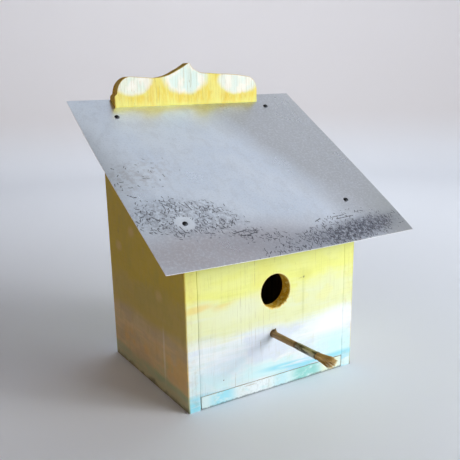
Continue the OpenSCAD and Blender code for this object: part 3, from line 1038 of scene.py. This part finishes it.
def plain_hole(radius):
    """A hole's radius as a function of the angle, the same all round."""
    return lambda angle: np.full(len(angle), radius)


def chipped_entrance(angle):
    """The entrance's radius at the front face, where its edge is broken away."""
    return ENTRANCE_R + chip(angle)


def chip(angle):
    """How far the entrance's front edge is broken away: most between straight down and lower right."""
    ragged = np.stack([np.cos(angle), np.sin(angle)], 1) * ENTRANCE_R
    rough = np.clip(0.5 + wander(ragged, 5, 0.010) + 1.2 * wander(ragged, 6, 0.0036), 0, 2.6)
    near = np.exp(-((np.angle(np.exp(1j * (angle + math.radians(76)))) / 0.60) ** 2))
    return 0.0005 + 0.0003 * rough + 0.0030 * rough * near


def front_panel():
    """Front panel: two ringed faces, one round each hole, that meet half-way; bevelled top edge."""
    x1 = HALF_INSIDE - EDGE_INSET
    z0 = panel_low.z - GAP_CLOSE + EDGE_INSET
    top_front = UNDER_Z - EDGE_INSET
    top_back = panel_high.z - EDGE_INSET
    seam_z = 0.112
    across, up_high, up_low, spokes = 96, 54, 34, 34
    w0, w1 = panel_low.y, panel_high.y
    entrance = np.array([0, ENTRANCE_Z])
    perch = np.array([PERCH_X, PERCH_HOLE_Z])
    parts = []
    edges = []
    plain_entrance = plain_hole(ENTRANCE_R + BACK_CHIP)
    faces = ((w0, top_front, 0, chipped_entrance), (w1, top_back, 1, plain_entrance))
    for depth, top, slot, entrance_radius in faces:
        high = box_loop(-x1, x1, seam_z, top, across, up_high)
        low = box_loop(-x1, x1, z0, seam_z, across, up_low)
        upper = ring(entrance, entrance_radius, np.concatenate(high), spokes)
        lower = ring(perch, plain_hole(PERCH_HOLE_R + PERCH_CHIP), np.concatenate(low), spokes)
        parts.append((lay(flat(upper, depth), "y"), True, slot))
        parts.append((lay(flat(lower, depth), "y"), True, slot))
        corner = np.array([[-x1, seam_z]])
        outline = np.concatenate([high[0], high[1], high[2], corner, low[2][1:], low[3], low[0]])
        edges.append((outline, upper[0], lower[0]))
    (outline, entrance_front, perch_front), (back_outline, entrance_back, perch_back) = edges
    out_of_entrance = entrance_front - entrance
    deep = chip(np.arctan2(out_of_entrance[:, 1], out_of_entrance[:, 0]))
    shallow = np.full(len(perch_front), PERCH_CHIP)
    edge = rounded("front_panel", outline, back_outline, w0, w1)
    entrance_bore = bore_rows(entrance_front, entrance_back, entrance, ENTRANCE_R, w0, w1, deep)
    perch_bore = bore_rows(perch_front, perch_back, perch, PERCH_HOLE_R, w0, w1, shallow)
    for grid, slot in ((edge, 0), (entrance_bore, 2), (perch_bore, 2)):
        parts.append((lay(grid, "y"), True, slot))
    return piece("board_front_panel", parts, [panel_paint, inside, bore], "box", "front_panel")


def bore_rows(front, back, centre, radius, w0, w1, broken):
    """Wall of a drilled hole: from the front face's edge, over the broken rim, and through to the back.

    The rim falls from the face to the bore along a quarter ellipse, `broken` wide and 1.4 times as
    deep, and the bore's own radius wavers by a quarter of a millimetre.
    """
    lip = w1 - BACK_CHIP
    spoke = front - centre
    unit = spoke / np.linalg.norm(spoke, axis=1, keepdims=True)
    grid = [np.column_stack([front, np.full(len(front), w0)])]
    for angle in np.linspace(0, math.pi / 2, 5)[1:]:
        reach = radius + broken * (1 - math.sin(angle))
        deep = w0 + broken * (1 - math.cos(angle)) * 1.4
        grid.append(np.column_stack([centre + unit * reach[:, None], deep]))
    start = grid[-1]
    for share in np.linspace(0, 1, 12)[1:-1]:
        row = start.copy()
        row[:, 2] += (lip - start[:, 2]) * share
        row[:, :2] += unit * (0.00025 * wander(row, 8, 0.005))[:, None]
        grid.append(row)
    spoke_back = back - centre
    unit_back = spoke_back / np.linalg.norm(spoke_back, axis=1, keepdims=True)
    grid.append(np.column_stack([centre + unit_back * radius, np.full(len(back), lip)]))
    grid.append(np.column_stack([back, np.full(len(back), w1)]))
    return np.array(grid)


def crest_line():
    """Outline of the crest above the roof: shoulders as quarter ellipses, swoops as splines."""

    def spline(points, steps):
        """Catmull-Rom curve through points, `steps` points to a span, without the last point."""
        p = np.array(points, float)
        before = np.concatenate([p[:1], p[:-1]])
        after = np.concatenate([p[1:], p[-1:]])
        beyond = np.concatenate([p[2:], p[-1:], p[-1:]])
        t = np.linspace(0, 1, steps, endpoint=False)[None, :, None]
        a, b, c, d = (q[:-1, None] for q in (before, p, after, beyond))
        curve = 2 * b + (c - a) * t + (2 * a - 5 * b + 4 * c - d) * t**2 + (3 * b - a - 3 * c + d) * t**3
        return 0.5 * curve.reshape(-1, 2)

    def shoulder(centre, rx, rz, start, stop, steps):
        angle = np.radians(np.linspace(start, stop, steps))
        return np.stack([centre[0] + rx * np.cos(angle), centre[1] + rz * np.sin(angle)], 1)

    left = back_low.x / MM
    right = back_high.x / MM
    peak = 65
    return np.concatenate([
        [[left, 17], [left + 4, 21]],
        shoulder((-102, 19), -102 - left - 4, 26.5, 174, 98, 14),
        spline([[-102, 45.5], [-82, 44], [-60, 43], [-38, 46.5], [-13, 57.5], [0, peak]], 12),
        [[0, peak]],
        spline([[2, peak], [8, 57], [22, 50], [44, 48.5], [89, 46], [112, 43]], 12),
        shoulder((112, 20), right - 112, 23, 90, 2, 16),
    ]) * MM


def back_panel():
    """Back panel: straight columns from the foot to the crest line, a little wider above the roof."""
    inset = EDGE_INSET
    line = crest_line()
    half = back_high.x
    line[:, 0] *= 1 - inset / half
    xs = line[:, 0]
    low_xs = np.clip(xs, -HALF_INSIDE + inset, HALF_INSIDE - inset)
    grids = []
    for y in (back_low.y, back_high.y):
        ledge = TOP_Z + (y - FRONT_Y) * SLOPE + 0.0002
        crest_foot = TOP_Z + (back_low.y - FRONT_Y) * SLOPE
        tops = crest_foot + line[:, 1] - inset
        lower = np.stack(np.broadcast_arrays(low_xs[None], np.linspace(inset, ledge, 90)[:, None]), -1)
        rise = ledge + (tops - ledge)[None] * np.linspace(0, 1, 24)[:, None]
        upper = np.stack(np.broadcast_arrays(xs[None], rise), -1)
        grids.append(np.concatenate([lower, upper]))
    return board("back_panel", "box", "y", grids[0], grids[1], back_low.y, back_high.y,
                 [crest, shaded_crest_edge], rim_slot=1)


def floor_board():
    """Floor: a plain board with its grain across the box; its two ends stop short of the walls."""
    inset = EDGE_INSET
    left = floor_low.x - GAP_CLOSE + inset
    right = floor_high.x + 2 * GAP_CLOSE - inset
    corners = [(left, floor_low.y + inset), (right, floor_low.y + inset),
               (right, floor_high.y - inset), (left, floor_high.y - inset)]
    grid = mapped(60, 70, corners)
    return board("clean_out_floor", "floor", "z", grid, grid, floor_low.z,
                 floor_high.z + GAP_CLOSE, [floor_paint, floor_inside], back_slot=1)


# ---------------------------------------------------------------- roof sheet
def sheet_height(x, s):
    """Rise of the sheet off its flat plane, in metres, at x across and s up the slope.

    The free edges sag in long bows between their corners, and the sheet stands up in a low ring
    round each screw, which pulls it down again at its middle.
    """
    out_left = np.clip((-HALF_BOX - x) / OVER_LEFT, 0, 1)
    out_right = np.clip((x - HALF_BOX) / OVER_RIGHT, 0, 1)
    out_front = np.clip(-s / OVER_FRONT, 0, 1)
    up = np.clip((s - FRONT_S) / (SLOPE_L - FRONT_S), 0, 1)
    over = np.clip((x + HALF_BOX + OVER_LEFT) / (2 * HALF_BOX + OVER_LEFT + OVER_RIGHT), 0, 1)
    rise = -0.0045 * out_left**1.5 * np.sin(math.pi * up**1.25)
    rise += 0.0020 * out_right**1.5 * np.sin(math.pi * up**0.6)
    rise += -0.0030 * out_front**1.5 * np.sin(math.pi * over)
    slow = wander(np.stack([x, s], -1), SEEDS["roof_sheet"], 0.23)
    rise += 0.0006 * slow * np.sin(math.pi * up) * np.sin(math.pi * over)
    for (cx, cs), height in zip(SCREWS, (0.0011, 0.0006, 0.0005, 0.0005)):
        away = np.hypot(x - cx, s - cs)
        rise += height * (1 - np.exp(-((away / 0.006) ** 2))) * np.exp(-((away / 0.016) ** 2))
    return rise


def near_lines(low, high, step, keep):
    """Grid lines about step apart from low to high that also pass through every value in keep."""
    stops = np.unique(np.concatenate([[low], keep, [high]]))
    spans = []
    for a, b in zip(stops, stops[1:]):
        spans.append(np.linspace(a, b, max(2, int(round((b - a) / step)) + 1))[:-1])
    return np.concatenate(spans + [[high]])


def roof_sheet():
    """Roof: two skins of a notched rectangle on the warped plane, closed by a strip round the edge."""
    x0, x1 = sheet_low.x, sheet_high.x
    notch_x = HALF_INSIDE + 0.0004
    notch_s = (BACK_Y - BOARD - 0.0004 - FRONT_Y) / math.cos(PITCH)
    xs = near_lines(x0, x1, 0.0024, [-notch_x, notch_x])
    ss = near_lines(FRONT_S, SLOPE_L, 0.0024, [notch_s])
    grid_x, grid_s = np.meshgrid(xs, ss)
    rise = sheet_height(grid_x, grid_s)
    skins = []
    for lift in (0.0, -SHEET_T):
        n = rise + lift
        y = FRONT_Y + grid_s * math.cos(PITCH) - n * math.sin(PITCH)
        z = TOP_Z + grid_s * math.sin(PITCH) + n * math.cos(PITCH)
        skins.append(np.stack([grid_x, y, z], -1))
    row = int(np.searchsorted(ss, notch_s - 1e-9))
    left = int(np.searchsorted(xs, -notch_x - 1e-9))
    right = int(np.searchsorted(xs, notch_x - 1e-9))
    parts = []
    for skin in skins:
        parts.append((skin[: row + 1], False, 0))
        parts.append((skin[row:, : left + 1], False, 0))
        parts.append((skin[row:, right:], False, 0))
    walks = []
    for skin in skins:
        walks.append(np.concatenate([
            skin[0, :-1], skin[:-1, -1], skin[-1, right:][::-1], skin[row:-1, right][::-1],
            skin[row, left:right][::-1], skin[row + 1:, left], skin[-1, :left][::-1],
            skin[1:-1, 0][::-1]]))
    parts.append((np.stack(walks), True, 1))
    return piece("sheet_roof", parts, [zinc, shear], "box", "roof_sheet")


# ---------------------------------------------------------------- paintbrush perch
def on_perch(points):
    """Moves points from the brush's own frame (x across, y back along the brush, z up) into place."""
    y = points[..., 1] * math.cos(PERCH_TILT) + points[..., 2] * math.sin(PERCH_TILT)
    z = -points[..., 1] * math.sin(PERCH_TILT) + points[..., 2] * math.cos(PERCH_TILT)
    return np.stack([points[..., 0] + PERCH_X, y + FRONT_Y, z + PERCH_Z], -1)


def turned(profile, sides, squash=None, rough=0.0, seed=0):
    """Surface of revolution about the brush's line.

    profile is rows of (distance in front of the panel, radius); squash gives each row's height
    over its width; rough lets the radius wander.
    """
    profile = np.array(profile, float)
    angle = np.linspace(0, 2 * math.pi, sides, endpoint=False)
    ratio = np.ones(len(profile)) if squash is None else np.array(squash)
    radius = profile[:, 1][:, None] * np.ones(sides)
    probe = np.stack([radius * np.cos(angle), -profile[:, :1] * np.ones(sides) * 0.35,
                      radius * np.sin(angle)], -1)
    radius = radius * (1 + rough * wander(probe, seed, 0.010))
    x = radius * np.cos(angle) / np.sqrt(ratio)[:, None]
    z = radius * np.sin(angle) * np.sqrt(ratio)[:, None]
    y = -profile[:, :1] * np.ones(sides)
    return on_perch(np.stack([x, y, z], -1))


def perch_handle():
    """Handle: from a rounded end inside the box, narrowing to the ferrule."""
    end = HANDLE_L + HANDLE_TENON
    body = np.linspace(-HANDLE_IN + 0.002, end, 60)
    radius = 0.0049 - 0.0004 * np.clip(body / HANDLE_L, 0, 1)
    swell = 0.00012 * np.sin(body / 0.018)
    profile = [(-HANDLE_IN, 0.0), (-HANDLE_IN, 0.0025), (-0.0285, 0.0039), (-0.0277, 0.0046)]
    profile += list(zip(body, radius + swell)) + [(end, 0.0)]
    grid = turned(profile, 40, rough=0.02, seed=SEEDS["perch_handle"])
    return piece("brush_handle", [(grid, True, 0)], [old_handle("worn_handle")], "box", "perch_handle")


def perch_ferrule():
    """Ferrule: a thin tube with two crimped rings, a rolled lip, and a slightly flattened mouth."""
    d = np.linspace(0, FERRULE_L, 110)
    radius = 0.00515 + 0.0004 * np.clip((d / FERRULE_L - 0.5) * 2, 0, 1)
    for ring_at in (0.006, 0.0115):
        radius = radius - 0.0004 * np.exp(-(((d - ring_at) / 0.0008) ** 2))
        radius = radius + 0.00012 * np.exp(-(((np.abs(d - ring_at) - 0.0016) / 0.0006) ** 2))
    radius = radius + 0.00025 * np.exp(-(((d - FERRULE_L + 0.0006) / 0.0006) ** 2))
    outer = list(zip(d + HANDLE_L, radius))
    inner = [(FERRULE_END, 0.0050), (FERRULE_END - 0.004, 0.0049), (HANDLE_L + 0.02, 0.00452),
             (HANDLE_L, 0.00452)]
    rows = outer + inner + outer[:1]
    reach = np.clip((np.array(rows)[:, 0] - HANDLE_L) / FERRULE_L, 0, 1)
    grid = turned(rows, 48, squash=1 - 0.10 * reach**2, rough=0.010, seed=SEEDS["perch_ferrule"])
    return piece("brush_ferrule", [(grid, True, 0)], [tarnished("tarnished_ferrule")],
                 "box", "perch_ferrule")


def perch_bristles():
    """Bristles: thin tapered strands that leave the ferrule together, gather in locks and splay.

    A strand's middle line at share t of its length is root + t * length forward, plus t^1.6 of its
    way sideways to its tip; its radius falls to a third at the tip. A dark core fills the tuft.
    """
    rng = np.random.default_rng(SEEDS["perch_bristles"])
    count, sides, rings, locks = 520, 4, 7, 17
    angle = rng.uniform(0, 2 * math.pi, count)
    reach = np.sqrt(rng.uniform(0, 1, count))
    root = np.stack([0.0047 * reach * np.cos(angle), 0.0043 * reach * np.sin(angle)], 1)
    lock_turn = np.arange(locks) * 2.4
    lock_reach = np.sqrt((np.arange(locks) + 0.5) / locks)[:, None]
    lock_root = 0.0045 * lock_reach * np.stack([np.cos(lock_turn), np.sin(lock_turn)], 1)
    lock = np.argmin(np.linalg.norm(root[:, None] - lock_root[None], axis=2), axis=1)
    upper = (lock_root[:, 1] + 0.3 * lock_root[:, 0]) > 0
    apart = np.where(upper[:, None], [0.0008, 0.0011], [-0.0006, -0.0012])
    lock_tip = lock_root * 1.55 + apart + rng.normal(0, 0.0005, (locks, 2))
    tip = lock_tip[lock] + (root - lock_root[lock]) * 0.95 + rng.normal(0, 0.00045, (count, 2))
    tip *= TUFT_R / np.maximum(np.linalg.norm(tip, axis=1, keepdims=True), TUFT_R)
    length = BRISTLE_L * rng.uniform(0.80, 0.985, locks)[lock] * rng.uniform(0.90, 1, count)
    t = np.linspace(0, 1, rings)
    line = np.zeros((count, rings, 3))
    line[..., 0] = root[:, None, 0] + (tip - root)[:, None, 0] * t**1.6
    line[..., 2] = root[:, None, 1] + (tip - root)[:, None, 1] * t**1.6
    line[..., 1] = -(FERRULE_END - 0.006) - (length + 0.006)[:, None] * t
    wobble = rng.normal(0, 0.00025, (count, 1, 2)) * np.sin(math.pi * t)[None, :, None]
    line[..., (0, 2)] += wobble
    turn = np.linspace(0, 2 * math.pi, sides, endpoint=False)
    thick = 0.00030 * (1 - 0.66 * t)[None, :, None]
    across = np.stack([np.cos(turn), np.zeros(sides), np.sin(turn)], -1)
    tubes = line[:, :, None, :] + thick[..., None] * across[None, None]
    points = on_perch(tubes).reshape(-1, 3)
    strand = quads(rings, sides, closed=True)
    caps = np.array([[3, 2, 1, 0], [sides * (rings - 1) + k for k in range(sides)]])
    strand = np.concatenate([strand, caps])
    faces = (strand[None] + (np.arange(count) * rings * sides)[:, None, None]).reshape(-1, 4)
    core = [(FERRULE_END - 0.008, 0.0), (FERRULE_END - 0.008, 0.0046)]
    core += [(FERRULE_END + d, 0.0046 + 0.04 * d) for d in np.linspace(0, 0.018, 8)]
    core += [(FERRULE_END + 0.020, 0.0)]
    core_grid = turned(core, 24, rough=0.06, seed=SEEDS["bristle_core"])
    core_faces = quads(len(core), 24, closed=True) + len(points)
    mesh = bpy.data.meshes.new("brush_bristles")
    mesh.from_pydata(np.concatenate([points, core_grid.reshape(-1, 3)]).tolist(), [],
                     np.concatenate([faces, core_faces]).tolist())
    shade = np.clip(rng.uniform(0, 1, locks)[lock] + rng.normal(0, 0.2, count), 0, 1)
    shade = np.concatenate([np.repeat(shade, rings * sides), np.zeros(core_grid[..., 0].size)])
    strand_shade = mesh.attributes.new("strand", "FLOAT", "POINT")
    strand_shade.data.foreach_set("value", shade.astype(np.float32))
    close_up(mesh, MERGE_STRANDS)
    mesh.materials.append(bristle("golden_bristle"))
    return stand_in("brush_bristles", mesh, "box", "perch_bristles")


def perch_wedge():
    """Wedge: a splinter over the handle that bends up and thins to a broken point outside the panel."""
    line = np.array([[-0.013, 0.0055], [-0.006, 0.0056], [0.0, 0.0058], [0.0022, 0.0062],
                     [0.0034, 0.0074], [0.0042, 0.0090], [0.0044, 0.0104]])
    width = np.array([0.0015, 0.0015, 0.0015, 0.0016, 0.0014, 0.0010, 0.0003])
    thick = np.array([0.0005, 0.0006, 0.0006, 0.0007, 0.0007, 0.0005, 0.0002])
    along = np.gradient(line, axis=0)
    along /= np.linalg.norm(along, axis=1, keepdims=True)
    up = np.stack([-along[:, 1], along[:, 0]], 1)
    turn = np.linspace(0, 2 * math.pi, 10, endpoint=False)
    x = 0.0008 + width[:, None] * np.cos(turn)
    lift = thick[:, None] * np.sin(turn)
    y = -(line[:, :1] + up[:, :1] * lift)
    z = line[:, 1:] + up[:, 1:] * lift
    grid = on_perch(np.stack([x, y, z], -1))
    ends = [np.repeat(grid[:1].mean(axis=1, keepdims=True), 10, axis=1), grid,
            np.repeat(grid[-1:].mean(axis=1, keepdims=True), 10, axis=1)]
    return piece("wedge_splinter", [(np.concatenate(ends), True, 0)], [splinter("broken_splinter")],
                 "box", "perch_wedge", sharp=60)


def nails(node, heights, y):
    """Nails driven in from both sides: a disc head painted over, a shank and a pointed end.

    The profile of (distance along the nail, radius) is turned about the nail's line, and its head
    stands a tenth of a millimetre proud in a low dome.
    """
    dome = np.linspace(0, math.pi / 2, 5)
    profile = [(NAIL_DOME * math.cos(a), NAIL_HEAD_R * math.sin(a)) for a in dome]
    profile += [(-0.0009, NAIL_HEAD_R), (-0.0013, NAIL_R), (4 * MM - NAIL_L, NAIL_R), (-NAIL_L, 0.0)]
    along, radius = np.array(profile).T[..., None]
    turn = np.linspace(0, 2 * math.pi, 24, endpoint=False)
    parts = []
    for side in (-1, 1):
        for z in heights:
            x = side * (HALF_BOX + along * np.ones(24))
            grid = np.stack([x, y + radius * np.cos(turn), z + radius * np.sin(turn)], -1)
            parts.append((grid, True, 0))
    return piece("painted_" + node, parts, [side_paint], "box", node)


def brads():
    """Two fine brads through the panel into the cleat: the left head is bare, the right painted over."""
    profile = [(0.0, 0.0), (0.0, 0.0009), (0.0004, 0.0010), (0.0008, 0.0006), (0.030, 0.0006),
               (0.032, 0.0)]
    along, radius = np.array(profile).T[..., None]
    turn = np.linspace(0, 2 * math.pi, 16, endpoint=False)
    parts = []
    for x, slot in ((-BRAD_X, 0), (BRAD_X, 1)):
        y = FRONT_Y - 0.00005 + along * np.ones(16)
        grid = np.stack([x + radius * np.cos(turn), y, BRAD_Z + radius * np.sin(turn)], -1)
        parts.append((grid, True, slot))
    rusty = dark_steel("rusty_brad", (0.30, 0.24, 0.18), (0.16, 0.13, 0.10))
    return piece("brads_in_cleat", parts, [rusty, panel_paint], "box", "cleat_brads")


side_wall(-1, "left_side_wall")
side_wall(1, "right_side_wall")
nails("front_panel_nails", (0.048, 0.128, 0.209), FRONT_Y + BOARD / 2)
nails("back_panel_nails", (0.048, 0.155, 0.262, 0.369), BACK_Y - BOARD / 2)
front_panel()
brads()
back_panel()
floor_board()
roof_sheet()
perch_handle()
perch_ferrule()
perch_bristles()
perch_wedge()


def refinish(node, material):
    """Gives a CAD node that keeps its own shape its finish."""
    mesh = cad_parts[node].data
    mesh.materials.clear()
    mesh.materials.append(material)


refinish("floor_stop_cleat", bare)
refinish("roof_screws", dark_steel("blackened_steel"))
refinish("floor_pivot_nails", side_paint)


# ---------------------------------------------------------------- studio, camera and light
def cove():
    """Pale studio floor that curves up into a round wall: radius against height along one profile."""
    floor_r, bend_r, wall_top, sides = 2.2, 0.8, 3.2, 96
    bend = np.radians(np.linspace(0, 90, 24))
    radius = np.concatenate([[0, 0.8, 1.6], floor_r + bend_r * np.sin(bend), [floor_r + bend_r]])
    height = np.concatenate([[0, 0, 0], bend_r * (1 - np.cos(bend)), [wall_top]])
    angle = np.linspace(0, 2 * math.pi, sides, endpoint=False)
    x = radius[:, None] * np.cos(angle)
    y = radius[:, None] * np.sin(angle)
    z = height[:, None] * np.ones(sides)
    mesh = bpy.data.meshes.new("studio_cove")
    points = np.stack([x, y, z], -1).reshape(-1, 3)
    mesh.from_pydata(points.tolist(), [], quads(len(radius), sides, True).tolist())
    mesh.polygons.foreach_set("use_smooth", np.ones(len(mesh.polygons), bool))
    look = Look("pale_studio", Roughness=0.75, Specular_IOR_Level=0.2)
    x, _, z = look.xyz()
    # Towards -X the wall turns a darker warm brown: painted shade, as on a wall in shadow.
    wall = look.mix(look.step(x, -0.9, -2.6), (0.74, 0.74, 0.775), (0.60, 0.46, 0.34))
    mesh.materials.append(look.finish(look.mix(look.step(z, 0.0, 0.30), (0.83, 0.89, 0.98), wall)))
    thing = bpy.data.objects.new("studio_cove", mesh)
    bpy.context.scene.collection.objects.link(thing)


def heading(bearing, rise):
    """Unit vector from angles in radians: bearing 0 looks along +Y and turns towards +X."""
    flat_part = math.cos(rise)
    return Vector((math.sin(bearing) * flat_part, math.cos(bearing) * flat_part, math.sin(rise)))


BOX_MIDDLE = Vector((0, 0, 0.2))


def around(azimuth, elevation, distance):
    """Place of a lamp round the box, from a compass direction in degrees: 0 is straight in front."""
    return BOX_MIDDLE + distance * heading(math.radians(180 - azimuth), math.radians(elevation))


def soft_light(name, place, target, side, watts, colour):
    """A square soft light that stands at a place and looks at a target."""
    data = bpy.data.lights.new(name, "AREA")
    data.shape = "SQUARE"
    data.size = side
    data.energy = watts
    data.color = colour
    thing = bpy.data.objects.new(name, data)
    thing.visible_camera = False
    bpy.context.scene.collection.objects.link(thing)
    thing.location = place
    thing.rotation_euler = (target - place).to_track_quat("-Z", "Y").to_euler()


CAMERA_PLACE = (-0.5096, -0.8264, 0.4375)
CAMERA_BEARING = math.radians(30.72)
CAMERA_RISE = math.radians(-15.69)
CAMERA_ROLL = math.radians(-1.42)


def camera():
    """Camera of the main view, from its place, bearing, rise, roll and lens."""
    data = bpy.data.cameras.new("camera")
    data.sensor_width = 36
    data.lens = 49.7
    data.shift_x = 0.026
    data.shift_y = 0.070
    thing = bpy.data.objects.new("camera", data)
    bpy.context.scene.collection.objects.link(thing)
    ahead = heading(CAMERA_BEARING, CAMERA_RISE)
    right = Vector((math.cos(CAMERA_BEARING), -math.sin(CAMERA_BEARING), 0))
    up = right.cross(ahead)
    tilted_right = right * math.cos(CAMERA_ROLL) + up * math.sin(CAMERA_ROLL)
    tilted_up = up * math.cos(CAMERA_ROLL) - right * math.sin(CAMERA_ROLL)
    turn = Matrix((tilted_right, tilted_up, -ahead)).transposed()
    thing.matrix_world = Matrix.Translation(CAMERA_PLACE) @ turn.to_4x4()
    bpy.context.scene.camera = thing


cove()
camera()
# name, place, target, side, watts, colour
soft_light("window", around(36, 14, 2.6), BOX_MIDDLE, 1.9, 63, (1.0, 0.99, 0.97))
soft_light("window_core", around(40, 15.5, 2.6), BOX_MIDDLE, 0.35, 10, (1.0, 0.99, 0.97))
soft_light("sky_panel", around(112, 56, 2.2), BOX_MIDDLE, 2.0, 9.0, (0.90, 0.95, 1.0))
soft_light("warm_side", around(-95, 12, 2.2), BOX_MIDDLE, 1.6, 2.5, (1.0, 0.45, 0.12))
# Behind the box, on the right: it lights the wall there.
soft_light("wall_wash", Vector((0.7, 1.0, 1.9)), Vector((1.7, 2.6, 0.6)), 1.2, 18, (1.0, 0.99, 0.98))

world = bpy.data.worlds.new("room")
world.use_nodes = True
background = world.node_tree.nodes["Background"]
background.inputs["Color"].default_value = (0.80, 0.80, 0.86, 1)
background.inputs["Strength"].default_value = 0.03
bpy.context.scene.world = world
bpy.context.scene.view_settings.view_transform = "Standard"
